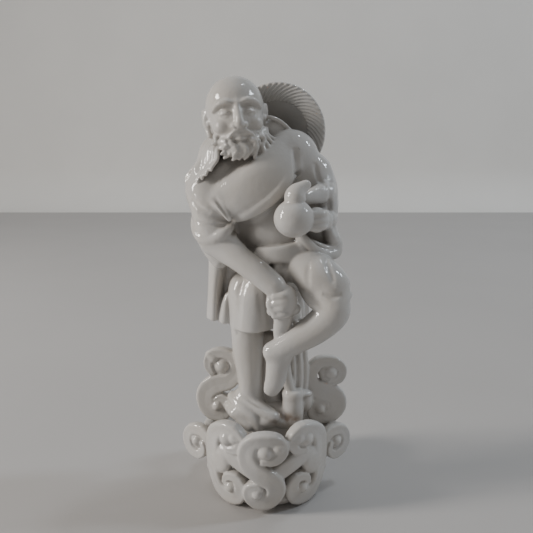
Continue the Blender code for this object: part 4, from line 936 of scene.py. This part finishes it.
def press(mesh, strokes):
    """Presses creases into a mesh and raises ridges on it.

    A stroke is a path, its half width, its height (negative for a crease) and the way it faces.
    """
    count = len(mesh.vertices)
    points = np.zeros(3 * count, "f")
    normals = np.zeros(3 * count, "f")
    mesh.vertices.foreach_get("co", points)
    mesh.vertex_normals.foreach_get("vector", normals)
    points = points.reshape(count, 3) / UNIT
    normals = normals.reshape(count, 3)
    moves = np.zeros(count)
    for path, half_width, height, facing in strokes:
        line = smooth_path(path, 6)
        facing = np.array(Vector(facing).normalized())
        reach = half_width + PRESS_DEPTH
        near = np.all((points > line.min(0) - reach) & (points < line.max(0) + reach), axis=1)
        near &= normals @ facing > 0.1
        chosen = np.nonzero(near)[0]
        if not len(chosen):
            continue
        # The distance to the path, seen from where the stroke faces
        legs = line[1:] - line[:-1]
        leg_depths = legs @ facing
        flat_legs = legs - np.outer(leg_depths, facing)
        gaps = points[chosen][:, None, :] - line[None, :-1, :]
        depths = gaps @ facing
        flat_gaps = gaps - depths[..., None] * facing
        along = (flat_gaps * flat_legs).sum(2) / (flat_legs**2).sum(1)
        along = np.clip(along, 0, 1)
        off = np.linalg.norm(flat_gaps - along[..., None] * flat_legs, axis=2)
        off = np.where(abs(depths - along * leg_depths) < PRESS_DEPTH, off, 1e6)
        best = off.argmin(axis=1)
        rows = np.arange(len(chosen))
        place = (best + along[rows, best]) / len(legs)
        shape = np.clip(1 - (off[rows, best] / half_width) ** 2, 0, 1) ** 2
        moves[chosen] += height * shape * np.sin(pi * place) ** 0.5
    points += normals * moves[:, None]
    mesh.vertices.foreach_set("co", (points * UNIT).astype("f").ravel())
    mesh.update()


FRONT = (0, -1, 0.1)
LEFT_FRONT = (-0.5, -1, 0)
STROKES = [
    # Folds of the sleeve at the left, which run together at the elbow
    ([(-33, -11, 154.0), (-25.3, -15, 151.6), (-18, -16, 148.8)], 1.7, -0.9, LEFT_FRONT),
    ([(-34.2, -10, 149.6), (-26.5, -15, 147.6), (-18, -16.5, 147.4)], 1.5, -0.8, LEFT_FRONT),
    ([(-25.6, -14.6, 162.0), (-21.2, -16, 155.6), (-17.6, -16.6, 150.6)], 1.6, -0.9, FRONT),
    ([(-36, -7, 160.0), (-33, -11, 157.0), (-27, -14, 153.6)], 1.8, -0.7, LEFT_FRONT),
    # The crease between the chest and the far shoulder
    ([(14.0, -7, 185), (14.8, -11, 176), (16.1, -12, 166)], 2.4, -1.6, FRONT),
    ([(24.0, -6, 178), (25.8, -8, 171), (29.8, -8, 164)], 1.8, -0.8, FRONT),
    ([(32.6, -4, 174), (31.4, -8, 162), (32.6, -7, 150), (36.4, -6, 141)], 1.8, -0.9, FRONT),
    # Folds of the tunic
    ([(-13.0, -15, 120), (-14.0, -16, 106), (-15.6, -17, 90.0)], 2.4, -0.6, FRONT),
    ([(-4.6, -15, 118), (-2.6, -16, 104), (-1.6, -17, 90.0)], 2.4, -0.5, FRONT),
    # The trouser leg's creases at the knee
    ([(28.4, -14, 132), (30.6, -22, 126), (32.4, -26, 121.0)], 2.2, -0.9, FRONT),
    ([(21.0, -16, 130), (20.0, -22, 124), (20.6, -22, 118)], 2.0, -0.5, FRONT),
    ([(27.0, -26, 116.0), (32.0, -27, 114.6), (36.6, -24, 115.4)], 2.0, -0.8, FRONT),
    # The rocks and the standing foot
    ([(-14.8, -11, 57.4), (-5.6, -15, 53.0), (4.4, -18, 50.2)], 1.5, -0.9, FRONT),
]


# Nodes, for the hat's straw and for the finishes


def give(tree, inputs, values):
    """Gives each named input another node's socket, or a plain value."""
    for spot, value in dict(values).items():
        if isinstance(value, bpy.types.NodeSocket):
            tree.links.new(value, inputs[spot])
        else:
            inputs[spot].default_value = value


def add_node(tree, kind, values=(), **settings):
    made = tree.nodes.new(kind)
    for name, setting in settings.items():
        setattr(made, name, setting)
    give(tree, made.inputs, values)
    return made


def straw_tree(name, curve, copies):
    """Nodes that lay one round straw along a curve and repeat it round the hat's axis."""
    tree = bpy.data.node_groups.new(name, "GeometryNodeTree")
    face = tree.interface
    face.new_socket("Geometry", in_out="OUTPUT", socket_type="NodeSocketGeometry")
    sockets = {}
    for label, kind, value in (
        ("Hat radius", "NodeSocketFloat", HAT_RADIUS / UNIT),
        ("Straw radius", "NodeSocketFloat", STRAW_RADIUS / UNIT),
        ("Copies", "NodeSocketInt", copies),
        ("Coil turns", "NodeSocketFloat", COIL_TURNS),
        ("Glaze", "NodeSocketMaterial", None),
    ):
        sockets[label] = face.new_socket(label, in_out="INPUT", socket_type=kind)
        if value is not None:
            sockets[label].default_value = value
    given = add_node(tree, "NodeGroupInput").outputs
    section = add_node(
        tree,
        "GeometryNodeCurvePrimitiveCircle",
        {"Resolution": STRAW_SIDES, "Radius": given["Straw radius"]},
    )
    straw = add_node(
        tree,
        "GeometryNodeCurveToMesh",
        {
            "Curve": curve(tree, given),
            "Profile Curve": section.outputs["Curve"],
            "Fill Caps": True,
        },
    )
    seats = add_node(tree, "GeometryNodePoints", {"Count": given["Copies"]})
    index = add_node(tree, "GeometryNodeInputIndex")
    step = add_node(tree, "ShaderNodeMath", {0: tau, 1: given["Copies"]}, operation="DIVIDE")
    angle = add_node(
        tree, "ShaderNodeMath", {0: index.outputs[0], 1: step.outputs[0]}, operation="MULTIPLY"
    )
    turn = add_node(tree, "ShaderNodeCombineXYZ", {"Z": angle.outputs[0]})
    placed = add_node(
        tree,
        "GeometryNodeInstanceOnPoints",
        {
            "Points": seats.outputs[0],
            "Instance": straw.outputs["Mesh"],
            "Rotation": turn.outputs["Vector"],
        },
    )
    real = add_node(tree, "GeometryNodeRealizeInstances", {"Geometry": placed.outputs[0]})
    glazed = add_node(
        tree,
        "GeometryNodeSetMaterial",
        {"Geometry": real.outputs["Geometry"], "Material": given["Glaze"]},
    )
    add_node(tree, "NodeGroupOutput", {"Geometry": glazed.outputs["Geometry"]})
    return tree, sockets


def brim_ridge(tree, given):
    """One slanting straw on the brim's open face, from its crown to its edge."""
    spots = {"Resolution": BRIM_STEPS}
    for socket, (share, lean, height) in BRIM_STRAW.items():
        spot = add_node(
            tree,
            "ShaderNodeVectorMath",
            {0: (share * cos(lean), share * sin(lean), height), "Scale": given["Hat radius"]},
            operation="SCALE",
        )
        spots[socket] = spot.outputs["Vector"]
    return add_node(tree, "GeometryNodeCurveQuadraticBezier", spots).outputs["Curve"]


def crown_coil(tree, given):
    """The coiled braid of the hat's outer face, from the brim towards the tip."""
    coil = add_node(
        tree,
        "GeometryNodeCurveSpiral",
        {**COIL, "Resolution": COIL_STEPS, "Rotations": given["Coil turns"]},
    )
    sunk = add_node(
        tree,
        "GeometryNodeTransform",
        {"Geometry": coil.outputs["Curve"], "Translation": (0, 0, -COIL_SUNK)},
    )
    sized = add_node(
        tree,
        "GeometryNodeTransform",
        {"Geometry": sunk.outputs["Geometry"], "Scale": given["Hat radius"]},
    )
    return sized.outputs["Geometry"]


def hat_straw(clay, glaze, name, curve, copies):
    """Straw of the hat, added to the clay in the hat's own place."""
    tree, sockets = straw_tree(name, curve, copies)
    carrier = in_scene(name, bpy.data.meshes.new(name))
    modifier = carrier.modifiers.new(name, "NODES")
    modifier.node_group = tree
    modifier[sockets["Copies"].identifier] = copies
    modifier[sockets["Glaze"].identifier] = glaze
    clay.place = HAT_AT
    clay.add_mesh(as_modified(carrier))
    clay.place = STANDING


def sculpt(glaze):
    """The whole figurine's mesh: soft masses first, then cloth over them, then crisp forms."""
    clay = Clay()
    clay.build((masses, thigh, legs))
    clay = regained(fuse(clay, *SOFT_FUSE))
    clay.build((skirts, robe, right_sleeve, trousers, mound))
    clay.build((skull, features), HEAD_AT)
    clay = regained(fuse(clay, *CLOTH_FUSE))
    clay.build((base, clouds, trunk, right_hand, crutch, left_arm, gourd, collar))
    clay.build((hat,), HAT_AT)
    clay.build((face, beard, fringe), HEAD_AT)
    clay.build((strands,))
    hat_straw(clay, glaze, "brim straw", brim_ridge, STRAWS)
    hat_straw(clay, glaze, "crown coil", crown_coil, 1)
    mesh = fuse(clay, *CRISP_FUSE)
    press(mesh, STROKES)
    return mesh


def regained(mesh):
    """A fused mesh as clay again."""
    clay = Clay()
    clay.add_mesh(mesh, UNIT)
    return clay


def finished_mesh(glaze):
    """The fused porcelain, thinned out to a mesh that travels well."""
    mesh = sculpt(glaze)
    mesh.calc_loop_triangles()
    full = in_scene("full", mesh)
    thin = full.modifiers.new("thin", "DECIMATE")
    thin.ratio = min(1.0, SCENE_TRIANGLES / len(mesh.loop_triangles))
    return as_modified(full)


def settle(mesh):
    """Grinds the foot flat, and puts the origin at the middle of the space it stands on."""
    count = len(mesh.vertices)
    points = np.zeros(3 * count, "f")
    mesh.vertices.foreach_get("co", points)
    points = points.reshape(count, 3)
    points[points[:, 2] < FOOT_GRIND, 2] = 0.0
    middle = 0.5 * (points.min(axis=0) + points.max(axis=0))
    points[:, :2] -= middle[:2]
    mesh.vertices.foreach_set("co", points.ravel())
    mesh.update()
    return (-middle[0], -middle[1], 0.0)


# The glaze, and the studio's finishes


def mixed(tree, kind, share, first, second):
    """The result of a Mix node of two colours or two values."""
    spots = {"RGBA": (0, 6, 7, 2), "FLOAT": (0, 2, 3, 0)}[kind]
    mix = add_node(tree, "ShaderNodeMix", zip(spots, (share, first, second)), data_type=kind)
    return mix.outputs[spots[3]]


def product(tree, first, second):
    times = add_node(
        tree, "ShaderNodeMath", {0: first, 1: second}, operation="MULTIPLY", use_clamp=True
    )
    return times.outputs[0]


def stretched(tree, value, low, high, **settings):
    """A value stretched so that low and high become 0 and 1."""
    values = {"Value": value, "From Min": low, "From Max": high}
    return add_node(tree, "ShaderNodeMapRange", values, **settings).outputs["Result"]


def clouded(tree, source, scale, low, high, detail=3.0):
    """Soft noise on the object's coordinates, of which low and high become 0 and 1."""
    noise = add_node(
        tree, "ShaderNodeTexNoise", {"Vector": source, "Scale": scale, "Detail": detail}
    )
    return stretched(tree, noise.outputs["Fac"], low, high, interpolation_type="SMOOTHSTEP")


def spot_mask(tree, source, centre, size):
    """1 at a place on the piece and 0 beyond its size."""
    place = add_node(
        tree,
        "ShaderNodeMapping",
        {"Vector": source, "Location": centre, "Scale": size},
        vector_type="TEXTURE",
    )
    ball = add_node(
        tree,
        "ShaderNodeTexGradient",
        {"Vector": place.outputs["Vector"]},
        gradient_type="SPHERICAL",
    )
    return ball.outputs["Fac"]


def new_finish(name):
    """A material, its tree, its shader's inputs and the object's coordinates."""
    material = bpy.data.materials.new(name)
    material.use_nodes = True
    tree = material.node_tree
    place = add_node(tree, "ShaderNodeTexCoord").outputs["Object"]
    return material, tree, tree.nodes["Principled BSDF"].inputs, place


def porcelain_glaze():
    """White porcelain under a clear glaze that thins on edges; its hollows are darkened, partly as
    pooled glaze and partly as painted shade.
    """
    material, tree, shader, place = new_finish("White porcelain glaze")
    # Painted shade: hollows and creases are darkened towards the pooled colour, partly as pooled
    # glaze, partly as the shade that falls there
    nearby = add_node(tree, "ShaderNodeAmbientOcclusion", {"Distance": POOLED_SHADE_REACH}, samples=8)
    hollow = stretched(tree, nearby.outputs["AO"], 0.85, 0.25)
    shape = add_node(tree, "ShaderNodeNewGeometry")
    edge = stretched(tree, shape.outputs["Pointiness"], 0.52, 0.62)
    drift = clouded(tree, place, 28.0, 0.35, 0.65)
    colour = mixed(tree, "RGBA", drift, GLAZE_WHITE, GLAZE_CREAM)
    colour = mixed(tree, "RGBA", product(tree, hollow, POOLED_SHADE_SHARE), colour, GLAZE_POOLED_SHADE)
    colour = mixed(tree, "RGBA", product(tree, edge, THIN_SHARE), colour, GLAZE_THIN)
    ragged = clouded(tree, place, 240.0, 0.30, 0.62, 5.0)
    for centre, size, strength in KILN_STAINS:
        mask = product(tree, spot_mask(tree, place, centre, size), ragged)
        colour = mixed(tree, "RGBA", product(tree, mask, strength), colour, KILN_BROWN)
    gloss = clouded(tree, place, 90.0, 0.35, 0.70)

    # The glaze's slow ripple, and the pinholes and grit fired into it
    ripple = clouded(tree, place, 300.0, 0.2, 0.8, 2.0)
    pinholes = clouded(tree, place, 850.0, 0.25, 0.75, 2.0)
    height = mixed(tree, "FLOAT", PINHOLE_SHARE, ripple, pinholes)
    grit = clouded(tree, place, 1500.0, 0.66, 0.80, 1.0)
    height = mixed(tree, "FLOAT", GRIT_SHARE, height, grit)
    relief = {"Strength": 1.0, "Distance": RELIEF_DEPTH, "Height": height}
    give(
        tree,
        shader,
        {
            "Base Color": colour,
            "Roughness": mixed(tree, "FLOAT", gloss, *GLAZE_ROUGHNESS),
            "IOR": 1.52,
            "Subsurface Weight": 0.12,
            "Subsurface Radius": (1.0, 0.9, 0.75),
            "Subsurface Scale": 0.0025,
            "Normal": add_node(tree, "ShaderNodeBump", relief).outputs["Normal"],
        },
    )
    return material


def plain_finish(name, colour, roughness):
    """Paint that is a little darker in places."""
    material, tree, shader, place = new_finish(name)
    darker = tuple(0.97 * c for c in colour[:3]) + (1.0,)
    paint = mixed(tree, "RGBA", clouded(tree, place, 6.0, 0.3, 0.7), colour, darker)
    give(tree, shader, {"Base Color": paint, "Roughness": roughness})
    return material


# The studio


def studio_floor():
    """A pale table that turns up into a wall behind."""
    turn_up = WALL_DISTANCE - WALL_BEND
    line = [(y, 0.0) for y in (-2.6, -1.0, 0.0, turn_up)]
    for k in range(1, BEND_STEPS + 1):
        a = 0.5 * pi * k / BEND_STEPS
        line.append((turn_up + WALL_BEND * sin(a), WALL_BEND * (1 - cos(a))))
    line.append((WALL_DISTANCE, 3.0))
    points = [(x, y, z) for x in (-3.0, 3.0) for y, z in line]
    count = len(line)
    faces = [(i, count + i, count + i + 1, i + 1) for i in range(count - 1)]
    mesh = bpy.data.meshes.new("table_and_wall")
    mesh.from_pydata(points, [], faces)
    mesh.shade_smooth()
    mesh.materials.append(plain_finish("Pale table paint", TABLE_GREY, 0.6))
    mesh.materials.append(plain_finish("White wall paint", WALL_WHITE, 0.8))
    for strip in mesh.polygons:
        strip.material_index = int(strip.center.y > turn_up)
    in_scene("table_and_wall", mesh)


def studio_lights():
    for name, centre, size, watts, colour in LAMPS:
        lamp = bpy.data.lights.new(name, "AREA")
        lamp.shape = "RECTANGLE"
        lamp.size, lamp.size_y = size
        lamp.energy = watts
        lamp.color = colour
        thing = in_scene(name, lamp)
        thing.location = centre
        aim = Vector(LAMP_AIM) - Vector(centre)
        thing.rotation_euler = aim.to_track_quat("-Z", "Y").to_euler()
    world = bpy.data.worlds.new("studio air")
    world.use_nodes = True
    background = world.node_tree.nodes["Background"]
    give(world.node_tree, background.inputs, {"Color": AIR_COLOUR, "Strength": AIR_STRENGTH})
    bpy.context.scene.world = world


def photo_camera(shift):
    """The camera at the photograph's viewing angle. Its sensor is as tall as it is wide."""
    camera = bpy.data.cameras.new("camera")
    camera.sensor_width = camera.sensor_height = SENSOR
    camera.lens = SENSOR * CAMERA_FOCUS / PHOTO_WIDTH
    camera.clip_start = 0.01
    thing = in_scene("camera", camera)
    thing.location = Vector(CAMERA_PLACE) + Vector(shift)
    thing.rotation_euler = (radians(90 - CAMERA_PITCH), 0, 0)
    bpy.context.scene.camera = thing


glaze = porcelain_glaze()
porcelain = finished_mesh(glaze)
shift = settle(porcelain)
porcelain.materials.clear()
porcelain.materials.append(glaze)
porcelain.shade_smooth()
figure = in_scene("porcelain_figure", porcelain)
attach(figure, "root")
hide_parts("figurine")
studio_floor()
studio_lights()
photo_camera(shift)
